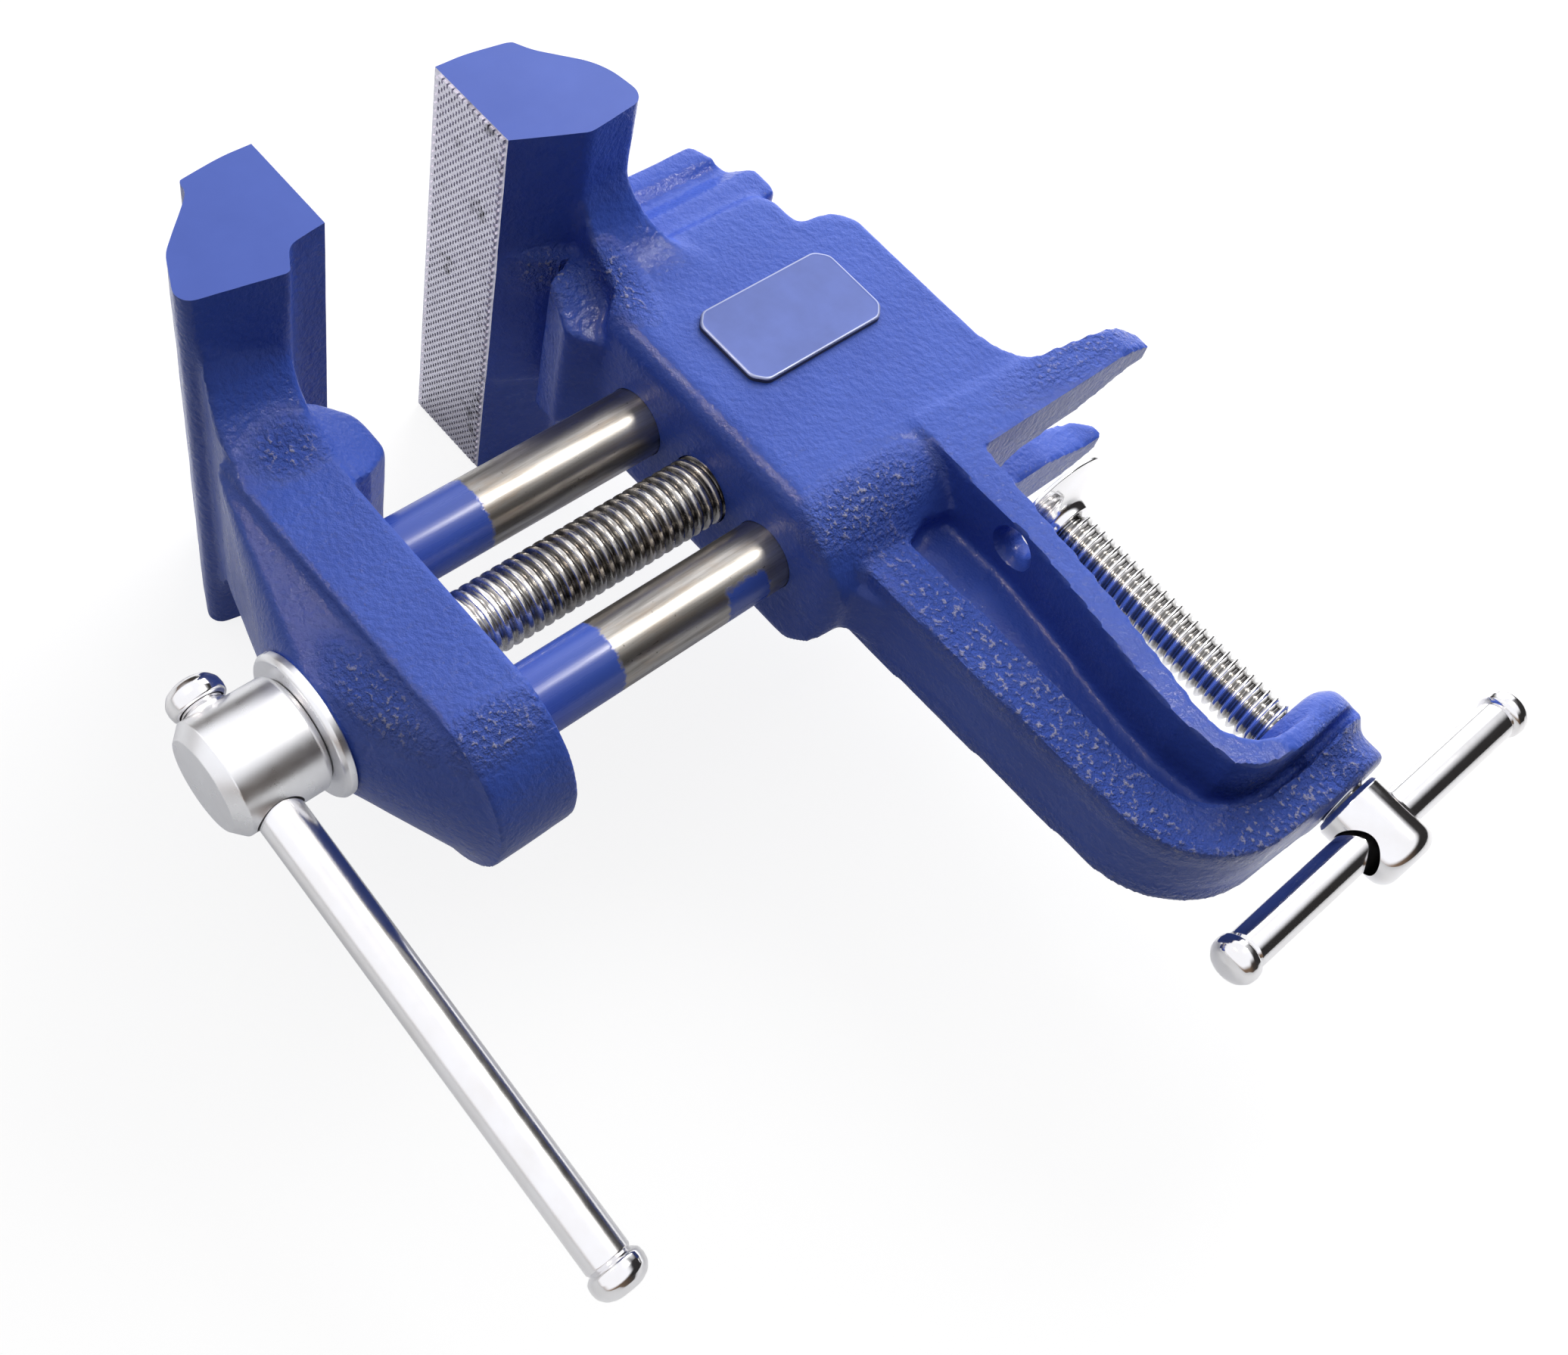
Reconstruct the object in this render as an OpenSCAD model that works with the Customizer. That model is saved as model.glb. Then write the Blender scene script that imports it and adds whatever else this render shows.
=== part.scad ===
// Clamp-on table vise: a fixed jaw on a C-frame, a jaw that slides on two rods, and a table clamp below.
// Millimetres. The origin is on the table seat, on the clamp screw's axis.
// X runs across the jaws, Y to the back of the vise, Z up from the table.

/* [Jaws] */
// Width of both jaws
jaw_w = 63.5; // [54:0.5:76]
// Height of the gripping faces
grip_h = 14.2; // [11:0.1:17]
// Height of the jaw tops above the table seat
jaw_top = 72.2; // [70:0.1:80]
// Distance from the clamp screw forward to the fixed gripping face
jaw_reach = 42.3; // [40:0.1:48]
// Opening between the jaws as drawn
jaw_gap = 25.1; // [14:0.1:30]
// Thickness of the fixed jaw at its top
jaw_t = 11; // [9:0.1:13]
// Radius of the web that carries the jaw's wings
wing_fillet_r = 13; // [8:0.5:14]

/* [Guides] */
// Diameter of the two guide rods
rod_d = 9.52; // [7:0.01:11]
// Distance between the guide rods
rod_gap = 25.3; // [24:0.1:28]
// Height of the middle between the guide rods above the table seat
guide_z = 21.55; // [21:0.05:24]
// Length of the guide rods
rod_len = 89.5; // [86:0.5:92]
// Height of the main screw above the table seat
screw_z = 21.2; // [20:0.1:24]
// Outside diameter of the main screw's thread
screw_d = 9.5; // [7:0.1:10]
// Radial play of a sliding or turning fit
fit = 0.06; // [0.03:0.01:0.1]

/* [Body] */
// Width of the body, the table seat and the moving jaw's bar
body_w = 25.4; // [24:0.2:30]
// Length of the body along the guides
body_len = 40; // [38:0.5:44]
// Set-back of the body's front from the gripping face
body_set = 5.6; // [5:0.1:7]
// Half width of the small anvil behind the fixed jaw
anvil_half_w = 10; // [8:0.1:11]
// Length of the name plate
plate_l = 23; // [18:0.1:25]
// Height of the name plate
plate_h = 13.3; // [10:0.1:14]
// Thickness of the name plate
plate_t = 0.9; // [0.5:0.1:1.5]

/* [Table clamp] */
// Thickness of the forked seat at the body
seat_t = 7.4; // [6:0.1:8]
// Reach of the seat's two prongs behind the clamp screw
seat_reach = 24.2; // [20:0.1:30]
// Width of the notch between the prongs at its root
notch_w = 9.8; // [8:0.2:12]
// Height of the throat below the table seat
throat_h = 51.2; // [46:0.1:60]
// Thickness of the wide web round the throat
web_t = 4.3; // [3.5:0.1:5.5]
// Width of the rib along the outside of the C-frame
rib_w = 13; // [11:0.1:15]
// Depth of the C-frame's lower arm
arm_t = 9.7; // [8:0.1:12]
// Radius of the boss round the clamp screw, below its lip
boss_r = 7.3; // [6.8:0.1:8]
// Diameter of the two wood screw holes in the web
screw_hole_d = 4.6; // [3:0.1:5]
// Outside diameter of the clamp screw's thread
clamp_d = 7.5; // [6.5:0.1:8.5]
// Radius of the clamp pad's rim
pad_r = 10.3; // [9:0.1:10.5]
// Gap between the table seat and the clamp pad as drawn
table_gap = 8; // [7:0.1:20]

/* [Handles] */
// Radius of the main screw's head
head_r = 7.4; // [6.5:0.1:8]
// Length of the main screw's head
head_len = 12.4; // [11:0.1:14]
// Radius of the clamp screw's head
clamp_head_r = 4.9; // [4.6:0.1:6]
// Length of the clamp screw's head
clamp_head_len = 11; // [10.5:0.1:13]
// Diameter of the main handle bar
bar_d = 5.7; // [5:0.1:6.2]
// Length of the main handle bar between its knobs
bar_len = 75.7; // [55:0.1:100]
// Turn of the main handle bar from straight down, as drawn
bar_turn = 10; // [-90:1:90]
// Diameter of the clamp handle bar
clamp_bar_d = 5.4; // [4.5:0.1:5.8]
// Length of the clamp handle bar between its knobs
clamp_bar_len = 51.5; // [30:0.5:70]
// Turn of the clamp handle bar from straight front to back, as drawn
clamp_bar_turn = -4; // [-90:1:90]
// Diameter of the main handle's knobs
knob_d = 7; // [6.4:0.1:9]
// Diameter of the clamp handle's knobs
clamp_knob_d = 6.6; // [6:0.1:9]
// Length of the handle knobs
knob_len = 3.6; // [3.4:0.1:6]

/* [Drawing] */
// Node to draw, or all of them

/* [Hidden] */
$fn = 48;

// Places that several pieces share
half_jaw = jaw_w / 2;
half_body = body_w / 2;
half_rib = rib_w / 2;
grip_y = -jaw_reach;
slide_y = grip_y - jaw_gap;
body_front = grip_y + body_set;
body_back = body_front + body_len;
upper_z = guide_z + rod_gap / 2;
lower_z = guide_z - rod_gap / 2;
rod_r = rod_d / 2;
screw_r = screw_d / 2;
clamp_r = clamp_d / 2;
overlap = 0.5;
cut_over = 1;

// Fixed jaw: its wedge section and the web below it
jaw_crown = 0.95;
crown_share = 0.42;
crown_r = 36;
hollow_t = jaw_t + 1.4;
hollow_drop = 3.4;
bulge_t = jaw_t + 7.6;
bulge_drop = grip_h - 4.5;
heel_t = jaw_t + 8.6;
heel_drop = grip_h + 2.7;
crease_t = 9.8;
crease_drop = grip_h + 4;
shoulder_drop = grip_h + 9.2;
step_drop = shoulder_drop + 7;
step_l = 7.5;
front_edge_r = 3;
wing_tilt = 1.6;
web_root_t = heel_t + 4.5;
lip_half_w = 12.1;
lip_tip_half_w = 8.6;
lip_rise = crease_drop + 2.8;
vee_depth = 8;
vee_drop = grip_h + 5.2;
lip_low = crease_drop + 8.8;
anvil_drop = 9.9;
anvil_back = body_back - 4.4;
anvil_base_half_w = anvil_half_w + 1.2;
anvil_waist_half_w = anvil_half_w - 1.6;
plate_set = 25.6;
plate_rise = 7.9;
plate_cut = 1.7;

// Throat and arm of the C-frame
throat_y = -9.4;
throat_lean = 7.6;
throat_mid_lean = 3.4;
throat_bow_r = 60;
throat_floor = -throat_h;
throat_mid = throat_floor / 2;
arm_floor = throat_floor - arm_t;
rib_front = body_front + 5;
rib_lean = 2.2;
rib_tilt = atan(rib_lean / (throat_h + arm_t));
arm_rise = 1.4;
outer_r = 19;
inner_r = 7;
boss_rise = 2.2;
boss_lip = 1.8;
boss_neck = 4.3;
lip_under = 6;
seat_proud = 0.3;
half_seat = half_body + seat_proud;
edge_r = 4.8;
hole_gap = 0.4;
hole_x = half_rib + screw_hole_d / 2 + hole_gap;
hole_z = -12;
notch_flare = 3.4;
notch_y = -3.5;
seat_fillet = 9;
web_overlap = 1.2;
prong_cut = 2.2;

// Moving jaw: bar, boss and retaining pin, set out from its gripping face
bar_back = slide_y - 10.1;
bar_t = 11.1;
bar_front = bar_back - bar_t;
boss_len = 7.1;
boss_front = bar_front - boss_len;
boss_end_r = 8.9;
slide_top_t = 10.5;
brow_t = 10.2;
brow_drop = 2.5;
nose_t = 17.3;
nose_drop = grip_h - 5;
front_drop = grip_h + 1.9;
front_t = 19.8;
front_lip = 0.7;
slide_end_drop = 0.9;
ledge = 1.2;
rod_seat = 1.5;
boss_skin = 1;
pin_d = 2.5;
groove_d = screw_d - 2.2;
pin_y = bar_front + bar_t / 2;
pin_z = screw_z - groove_d / 2 - pin_d / 2 - fit;
pin_x0 = -half_body + 0.4;
pin_len = half_body + 6;

// Main screw and its handle
washer_t = 1.5;
washer_r = 9.4;
washer_gap = 0.05;
washer_play = 0.35;
head_back = boss_front - washer_t - washer_gap;
head_front = head_back - head_len;
screw_tip = body_back - 1.5;
bar_set = 7.3;
bar_y = head_back - bar_set;
head_bevel = 1.6;
groove_play = 0.1;
knob_gap = 0.4;
knob_base = head_r + knob_gap;
spigot_d = 4;
spigot_len = 2.8;

// Clamp screw, pad and handle
pad_top = -table_gap;
pad_h = 3.6;
pad_floor = pad_top - pad_h;
spigot_top = pad_top - 1.1;
tip_d = 5.2;
head_gap = 0.5;
clamp_head_top = arm_floor - head_gap;
clamp_head_floor = clamp_head_top - clamp_head_len;
clamp_bar_set = 5;
clamp_bar_z = clamp_head_top - clamp_bar_set;

// An outline whose corners are rounded: each point is its two coordinates and the radius there
function unit(v) = v / norm(v);
function flat(p) = [p[0], p[1]];
function heading(angle) = [cos(angle), sin(angle)];
function corner(a, b, c, n) =
  let (
    u = unit(flat(a) - flat(b)),
    v = unit(flat(c) - flat(b)),
    half = acos(u * v) / 2,
    reach = b[2] / tan(half),
    mid = flat(b) + unit(u + v) * b[2] / sin(half),
    from = flat(b) + u * reach - mid,
    to = flat(b) + v * reach - mid,
    start = atan2(from[1], from[0]),
    sweep = (atan2(to[1], to[0]) - start + 540) % 360 - 180
  )
  b[2] == 0 ? [flat(b)] : [for (i = [0 : n]) mid + b[2] * heading(start + sweep * i / n)];
function rounded(pts, n = 6) =
  let (last = len(pts) - 1)
  [for (i = [0 : last]) each corner(pts[i == 0 ? last : i - 1], pts[i], pts[i == last ? 0 : i + 1], n)];

// Extrude an outline drawn in Y and Z evenly to both sides of the middle plane
module across(width) {
  rotate([90, 0, 90])
    translate([0, 0, -width / 2])
      linear_extrude(width)
        children();
}

// Extrude an outline drawn in X and Z from one Y to another
module along(y0, y1) {
  translate([0, y1, 0])
    rotate([90, 0, 0])
      linear_extrude(y1 - y0)
        children();
}

// A round bar along Y
module y_bar(r, y0, y1) {
  translate([0, y0, 0])
    rotate([-90, 0, 0])
      cylinder(r = r, h = y1 - y0);
}

// Front outline shared by the body and the moving jaw's bar: straight sides and a round lower end
module slab_outline(top, end_z, half_w) {
  translate([0, end_z])
    circle(r = half_w);
  translate([-half_w, end_z])
    square([2 * half_w, top - end_z]);
}

// Front outline of a jaw: full width above, curving in to the body's width below
module wing_outline(under) {
  polygon(rounded([
    [-half_jaw, jaw_top, 1],
    [half_jaw, jaw_top, 1],
    [half_jaw, under + wing_tilt, 0],
    [half_body, under, wing_fillet_r],
    [half_body, under - wing_fillet_r - 2, 0],
    [-half_body, under - wing_fillet_r - 2, 0],
    [-half_body, under, wing_fillet_r],
    [-half_jaw, under + wing_tilt, 0]
  ]));
}

// Wedge of the fixed jaw with its gripping face in front
module fixed_jaw() {
  across(jaw_w)
    polygon(rounded([
      [grip_y, jaw_top, 0],
      [grip_y + crown_share * jaw_t, jaw_top, crown_r],
      [grip_y + jaw_t, jaw_top - jaw_crown, 0.5],
      [grip_y + hollow_t, jaw_top - hollow_drop, 5],
      [grip_y + bulge_t, jaw_top - bulge_drop, 9],
      [grip_y + heel_t, jaw_top - heel_drop, 2.2],
      [grip_y + crease_t, jaw_top - crease_drop, 0],
      [grip_y, jaw_top - grip_h, 0]
    ]));
}

// Web that carries the wings of the fixed jaw down to the body
module fixed_web() {
  intersection() {
    along(grip_y, body_back)
      wing_outline(jaw_top - crease_drop);
    across(jaw_w)
      polygon(rounded([
        [grip_y + crease_t, jaw_top - crease_drop, 0],
        [grip_y + crease_t, jaw_top - heel_drop + 2, 0],
        [grip_y + heel_t - 3, jaw_top - heel_drop + 2, 0],
        [grip_y + heel_t - 0.3, jaw_top - crease_drop - 4, 6],
        [grip_y + web_root_t, jaw_top - crease_drop - wing_fillet_r - 1, 0],
        [body_front + 3, jaw_top - crease_drop - wing_fillet_r - 1, 0]
      ]));
  }
}

// Lower lip of the fixed pipe jaw
module pipe_lip() {
  intersection() {
    across(2 * lip_half_w)
      polygon(rounded([
        [grip_y + 1, jaw_top - grip_h, 0],
        [grip_y + 1, jaw_top - grip_h - 0.8, 0],
        [grip_y + vee_depth, jaw_top - vee_drop, 0],
        [grip_y + 3.5, jaw_top - lip_rise, 0.8],
        [grip_y + 1.5, jaw_top - lip_low, 1.6],
        [body_front, jaw_top - lip_low - 4, 3],
        [body_front + 8, jaw_top - lip_low - 5, 0],
        [grip_y + crease_t + 4, jaw_top - grip_h, 0]
      ]));
    along(grip_y, body_back)
      polygon(rounded([
        [-lip_half_w, jaw_top - grip_h + 1, 0],
        [lip_half_w, jaw_top - grip_h + 1, 0],
        [lip_half_w, jaw_top - lip_rise - 1, 3],
        [lip_tip_half_w, jaw_top - lip_low - 1, 5],
        [lip_tip_half_w - 1, jaw_top - lip_low - 5, 0],
        [1 - lip_tip_half_w, jaw_top - lip_low - 5, 0],
        [-lip_tip_half_w, jaw_top - lip_low - 1, 5],
        [-lip_half_w, jaw_top - lip_rise - 1, 3]
      ]));
  }
}

// Body with a round lower end, stepped down at its upper back corner
module body_block() {
  intersection() {
    along(body_front, body_back)
      slab_outline(jaw_top - shoulder_drop, lower_z, half_body);
    across(body_w)
      polygon(rounded([
        [body_front, lower_z - half_body, front_edge_r],
        [throat_y - web_t, lower_z - half_body, 0],
        [throat_y - web_t, seat_t - 1, 0],
        [body_back, seat_t - 1, 0],
        [body_back, jaw_top - step_drop - 0.8, 4.5],
        [body_back - step_l, jaw_top - step_drop, 1.2],
        [body_back - step_l, jaw_top - shoulder_drop, 3],
        [grip_y + crease_t + 3, jaw_top - shoulder_drop, 0],
        [body_front, jaw_top - lip_low - 3, 2.5]
      ]));
    translate([0, 0, lower_z - body_w])
      linear_extrude(jaw_top + body_w)
        polygon(rounded([
          [-half_body, body_front, front_edge_r],
          [half_body, body_front, front_edge_r],
          [half_body, body_back, 0],
          [-half_body, body_back, 0]
        ]));
  }
}

// Small anvil behind the fixed jaw, with a waist along both sides
module anvil() {
  intersection() {
    along(grip_y + crease_t + 3, anvil_back)
      polygon(rounded([
        [-anvil_half_w, jaw_top - anvil_drop, 0.8],
        [anvil_half_w, jaw_top - anvil_drop, 0.8],
        [anvil_half_w, jaw_top - anvil_drop - 3.5, 0.8],
        [anvil_waist_half_w, jaw_top - anvil_drop - 5.5, 1.5],
        [anvil_base_half_w, jaw_top - anvil_drop - 9, 1.5],
        [anvil_base_half_w, jaw_top - shoulder_drop - overlap, 0],
        [-anvil_base_half_w, jaw_top - shoulder_drop - overlap, 0],
        [-anvil_base_half_w, jaw_top - anvil_drop - 9, 1.5],
        [-anvil_waist_half_w, jaw_top - anvil_drop - 5.5, 1.5],
        [-anvil_half_w, jaw_top - anvil_drop - 3.5, 0.8]
      ]));
    across(body_w)
      polygon(rounded([
        [grip_y + crease_t, jaw_top - anvil_drop, 0],
        [anvil_back - 4.3, jaw_top - anvil_drop, 1.5],
        [anvil_back - 1.6, jaw_top - anvil_drop - 7, 0.6],
        [anvil_back, jaw_top - anvil_drop - 9, 0.8],
        [anvil_back - 1, jaw_top - step_drop - overlap, 0],
        [grip_y + crease_t, jaw_top - step_drop - overlap, 0]
      ]));
  }
}

// Forked table seat, a little proud of the body's sides
module table_seat() {
  difference() {
    intersection() {
      union() {
        across(2 * half_seat)
          polygon(rounded([
            [throat_y - web_t - web_overlap, seat_t + overlap, 0],
            [throat_y - web_t - web_overlap, 0, 0],
            [seat_reach, 0, 0.4],
            [seat_reach, 2.2, 1],
            [seat_reach - 2.6, 4.5, 3],
            [body_back, seat_t, 0]
          ]));
        across(body_w)
          polygon(rounded([
            [throat_y - web_t, seat_t + seat_fillet, 0],
            [throat_y - web_t, seat_t - 2, 0],
            [body_back + seat_fillet, 5, 0],
            [body_back, seat_t - overlap, seat_fillet],
            [body_back, seat_t + seat_fillet, 0]
          ]));
      }
      linear_extrude(seat_t + seat_fillet)
        polygon(rounded([
          [-half_seat, throat_y - web_t - web_overlap, 0],
          [half_seat, throat_y - web_t - web_overlap, 0],
          [half_seat, seat_reach - 5, 12],
          [half_seat - prong_cut, seat_reach, 1.6],
          [prong_cut - half_seat, seat_reach, 1.6],
          [-half_seat, seat_reach - 5, 12]
        ]));
    }
    translate([0, 0, -overlap])
      linear_extrude(lower_z + overlap)
        polygon(rounded([
          [-notch_w / 2, notch_y, notch_w / 2 - 0.1],
          [notch_w / 2, notch_y, notch_w / 2 - 0.1],
          [notch_w / 2 + 0.7, seat_reach - 13, 10],
          [notch_w / 2 + notch_flare, seat_reach - 4, 4],
          [notch_w / 2 + notch_flare, seat_reach + 1, 0],
          [-notch_w / 2 - notch_flare, seat_reach + 1, 0],
          [-notch_w / 2 - notch_flare, seat_reach - 4, 4],
          [-notch_w / 2 - 0.7, seat_reach - 13, 10]
        ]));
  }
}

// Wide web round the throat: upright wall and lower arm
module throat_web() {
  across(2 * half_seat)
    polygon(rounded([
      [throat_y - web_t - 0.8, seat_t + 1, 0],
      [throat_y - 0.4, seat_t + 1, 0],
      [throat_y - 0.4, 0, 0],
      [throat_y - throat_mid_lean, throat_mid, throat_bow_r],
      [throat_y - throat_lean, throat_floor, inner_r],
      [throat_y - 1, throat_floor, 0],
      [throat_y - 1, throat_floor - web_t, 0],
      [throat_y - throat_lean - web_t, throat_floor - web_t, inner_r + 1],
      [throat_y - throat_mid_lean - web_t, throat_mid, throat_bow_r]
    ]));
  translate([0, 0, throat_floor - web_t])
    linear_extrude(web_t)
      polygon([
        [-half_seat, throat_y - 3],
        [half_seat, throat_y - 3],
        [half_seat, throat_y - 1],
        [boss_r + boss_lip, 0],
        [-boss_r - boss_lip, 0],
        [-half_seat, throat_y - 1]
      ]);
}

// Rib along the outside of the C-frame, rounded along its edges
module outer_rib() {
  intersection() {
    across(rib_w)
      polygon(rounded([
        [rib_front, lower_z - half_body + 3, 0],
        [rib_front + rib_lean, arm_floor + arm_rise, outer_r],
        [0, arm_floor, 0],
        [0, throat_floor - 1, 0],
        [throat_y - throat_lean - 1, throat_floor - 1, inner_r],
        [throat_y - 1, lower_z - half_body + 3, 0]
      ]));
    translate([0, rib_front, 0])
      rotate([rib_tilt, 0, 0])
        translate([0, 0, arm_floor - 2])
          linear_extrude(throat_h + arm_t + seat_t)
            polygon(rounded([
              [-half_rib, 0, edge_r],
              [half_rib, 0, edge_r],
              [half_rib, 2 - rib_front, 0],
              [-half_rib, 2 - rib_front, 0]
            ]));
    along(rib_front, 2)
      polygon(rounded([
        [-half_rib, arm_floor, edge_r],
        [half_rib, arm_floor, edge_r],
        [half_rib, seat_t, 0],
        [-half_rib, seat_t, 0]
      ]));
  }
}

// Gusset from the body's round lower end down to the rib
module rib_gusset() {
  across(rib_w - edge_r)
    polygon([
      [body_front + 3, lower_z - half_body + 3],
      [body_front + 3, lower_z - half_body + 1],
      [rib_front + 0.4, lower_z - half_body - 5],
      [rib_front + 4, lower_z - half_body - 5],
      [rib_front + 4, lower_z - half_body + 3]
    ]);
}

// Boss that the clamp screw is threaded through, with a round lip above its neck
module clamp_boss() {
  rotate_extrude()
    polygon(rounded([
      [0, arm_floor, 0],
      [boss_r, arm_floor, 1],
      [boss_r, arm_floor + boss_neck, 1],
      [boss_r + boss_lip, throat_floor + boss_rise - lip_under, 1.2],
      [boss_r + boss_lip, throat_floor + boss_rise - 1.6, 2],
      [boss_r - 0.3, throat_floor + boss_rise, 1],
      [0, throat_floor + boss_rise, 0]
    ]));
}

// Fixed casting with its guide bores, thread bores and wood screw holes
module frame_casting() {
  color([0.12, 0.25, 0.62])
    difference() {
      union() {
        fixed_jaw();
        fixed_web();
        pipe_lip();
        body_block();
        anvil();
        table_seat();
        throat_web();
        outer_rib();
        rib_gusset();
        clamp_boss();
      }
      translate([0, 0, upper_z])
        y_bar(rod_r + fit, body_front - cut_over, body_back + cut_over);
      translate([0, 0, lower_z])
        y_bar(rod_r + fit, body_front - cut_over, seat_reach + cut_over);
      translate([0, 0, screw_z])
        y_bar(screw_r + fit, body_front - cut_over, body_back + cut_over);
      translate([0, 0, arm_floor - cut_over])
        cylinder(r = clamp_r + fit, h = arm_t + boss_rise + 2 * cut_over);
      for (side = [-1, 1])
        translate([side * hole_x, throat_y - 2.5 * web_t, hole_z])
          rotate([-90, 0, 0])
            cylinder(d = screw_hole_d, h = 4 * web_t);
    }
}

// Bare name plate with cut corners on the side of the body
module name_plate() {
  color([0.7, 0.71, 0.73])
    translate([half_body, 0, 0])
      rotate([90, 0, 90])
        linear_extrude(plate_t)
          translate([grip_y + plate_set, guide_z + plate_rise])
            polygon([
              [-plate_l / 2 + plate_cut, -plate_h / 2],
              [plate_l / 2 - plate_cut, -plate_h / 2],
              [plate_l / 2, plate_cut - plate_h / 2],
              [plate_l / 2, plate_h / 2 - plate_cut],
              [plate_l / 2 - plate_cut, plate_h / 2],
              [-plate_l / 2 + plate_cut, plate_h / 2],
              [-plate_l / 2, plate_h / 2 - plate_cut],
              [-plate_l / 2, plate_cut - plate_h / 2]
            ]);
}

// Sliding jaw head with its gripping face at the back and its S-shaped front
module slide_head() {
  across(jaw_w)
    polygon(rounded([
      [slide_y, jaw_top, 0],
      [slide_y - crown_share * slide_top_t, jaw_top, crown_r],
      [slide_y - slide_top_t, jaw_top - jaw_crown, 0.5],
      [slide_y - brow_t, jaw_top - brow_drop, 1.7],
      [slide_y - nose_t, jaw_top - nose_drop, 6],
      [slide_y - front_t - front_lip, jaw_top - front_drop, 1.8],
      [slide_y - 7.6, jaw_top - grip_h - 4.2, 0],
      [slide_y - 5.6, jaw_top - grip_h - 0.8, 2],
      [slide_y, jaw_top - grip_h, 0]
    ]));
}

// Web that carries the wings of the sliding jaw down to its bar
module slide_web() {
  intersection() {
    along(bar_front, slide_y)
      wing_outline(jaw_top - grip_h - 3.5);
    across(jaw_w)
      polygon(rounded([
        [slide_y - 7.6, jaw_top - grip_h - 2, 0],
        [slide_y - front_t + 1.6, jaw_top - grip_h - 1.2, 0],
        [slide_y - front_t - 0.2, jaw_top - grip_h - 7, 6],
        [bar_front, jaw_top - grip_h - wing_fillet_r - 4, 0],
        [bar_back, jaw_top - grip_h - wing_fillet_r - 4, 0],
        [slide_y - 8.4, jaw_top - grip_h - 7, 0]
      ]));
  }
}

// Tapered lug of the sliding pipe jaw
module pipe_lug() {
  intersection() {
    across(2 * lip_half_w)
      polygon(rounded([
        [bar_back - 2, jaw_top - crease_drop - 0.5, 0],
        [slide_y - 6, jaw_top - crease_drop - 2, 1.5],
        [slide_y - 2, jaw_top - crease_drop - 5, 2.2],
        [slide_y - 2, jaw_top - crease_drop - 11, 2.5],
        [slide_y - 7, jaw_top - crease_drop - 14.5, 3],
        [bar_back - 2, jaw_top - crease_drop - 16, 0]
      ]));
    linear_extrude(jaw_top)
      polygon(rounded([
        [-lip_half_w, bar_back - 2, 0],
        [-lip_half_w, bar_back + 1, 2],
        [-lip_tip_half_w, slide_y - 2, 2],
        [lip_tip_half_w, slide_y - 2, 2],
        [lip_half_w, bar_back + 1, 2],
        [lip_half_w, bar_back - 2, 0]
      ]));
  }
}

// Boss of the sliding jaw, drawn from the bar's outline to a round seat for the washer
module slide_boss() {
  hull() {
    along(bar_front - 0.2, bar_front + boss_skin)
      slab_outline(jaw_top - grip_h - 9, lower_z - slide_end_drop, half_body - ledge, $fn = 32);
    translate([0, 0, screw_z])
      y_bar(boss_end_r, boss_front, boss_front + boss_skin, $fn = 32);
  }
}

// Sliding jaw casting with its bores for rods, screw and pin
module moving_jaw() {
  color([0.12, 0.25, 0.62])
    difference() {
      union() {
        slide_head();
        slide_web();
        pipe_lug();
        along(bar_front, bar_back)
          slab_outline(jaw_top - grip_h - 9, lower_z - slide_end_drop, half_body);
        slide_boss();
      }
      for (z = [upper_z, lower_z])
        translate([0, 0, z])
          y_bar(rod_r, bar_front + rod_seat, slide_y);
      translate([0, 0, screw_z])
        y_bar(screw_r + fit, boss_front - cut_over, slide_y);
      translate([pin_x0 - cut_over, pin_y, pin_z])
        rotate([0, 90, 0])
          cylinder(d = pin_d, h = pin_len + cut_over);
    }
}

// Guide rod with a chamfered free end, from the blind bore in the sliding jaw
module guide_rod(z) {
  color([0.6, 0.58, 0.55])
    translate([0, bar_front + rod_seat, z])
      rotate([-90, 0, 0])
        rotate_extrude()
          polygon([[0, 0], [rod_r, 0], [rod_r, rod_len - 1], [rod_r - 1, rod_len], [0, rod_len]]);
}

module upper_guide_rod() {
  guide_rod(upper_z);
}

module lower_guide_rod() {
  guide_rod(lower_z);
}

// Cross pin that runs in the main screw's groove
module screw_retaining_pin() {
  color([0.5, 0.5, 0.5])
    translate([pin_x0, pin_y, pin_z])
      rotate([0, 90, 0])
        cylinder(d = pin_d, h = pin_len);
}

// Plain washer under the main screw's head
module thrust_washer() {
  color([0.75, 0.75, 0.77])
    translate([0, boss_front - washer_t, screw_z])
      rotate([-90, 0, 0])
        rotate_extrude()
          polygon(rounded([
            [screw_r + washer_play, 0, 0],
            [washer_r, 0, 0.4],
            [washer_r, washer_t, 0.4],
            [screw_r + washer_play, washer_t, 0]
          ]));
}

// Main screw: bevelled head with a cross hole, a groove for the pin, and the thread's outside
module main_screw() {
  color([0.45, 0.44, 0.43])
    difference() {
      translate([0, head_front, screw_z])
        rotate([-90, 0, 0])
          rotate_extrude()
            polygon(rounded([
              [0, 0, 0],
              [head_r - head_bevel, 0, 0.4],
              [head_r, head_bevel, 0.4],
              [head_r, head_len - 0.4, 0],
              [head_r - 0.4, head_len, 0],
              [screw_r, head_len, 0],
              [screw_r, pin_y - pin_d / 2 - groove_play - head_front, 0],
              [groove_d / 2, pin_y - pin_d / 2 - groove_play - head_front, 0],
              [groove_d / 2, pin_y + pin_d / 2 + groove_play - head_front, 0],
              [screw_r, pin_y + pin_d / 2 + groove_play - head_front, 0],
              [screw_r, screw_tip - 1 - head_front, 0],
              [screw_r - 1, screw_tip - head_front, 0],
              [0, screw_tip - head_front, 0]
            ]));
      main_bar_place()
        translate([0, 0, -head_r - cut_over])
          cylinder(d = bar_d + 2 * fit, h = 2 * (head_r + cut_over));
    }
}

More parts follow.
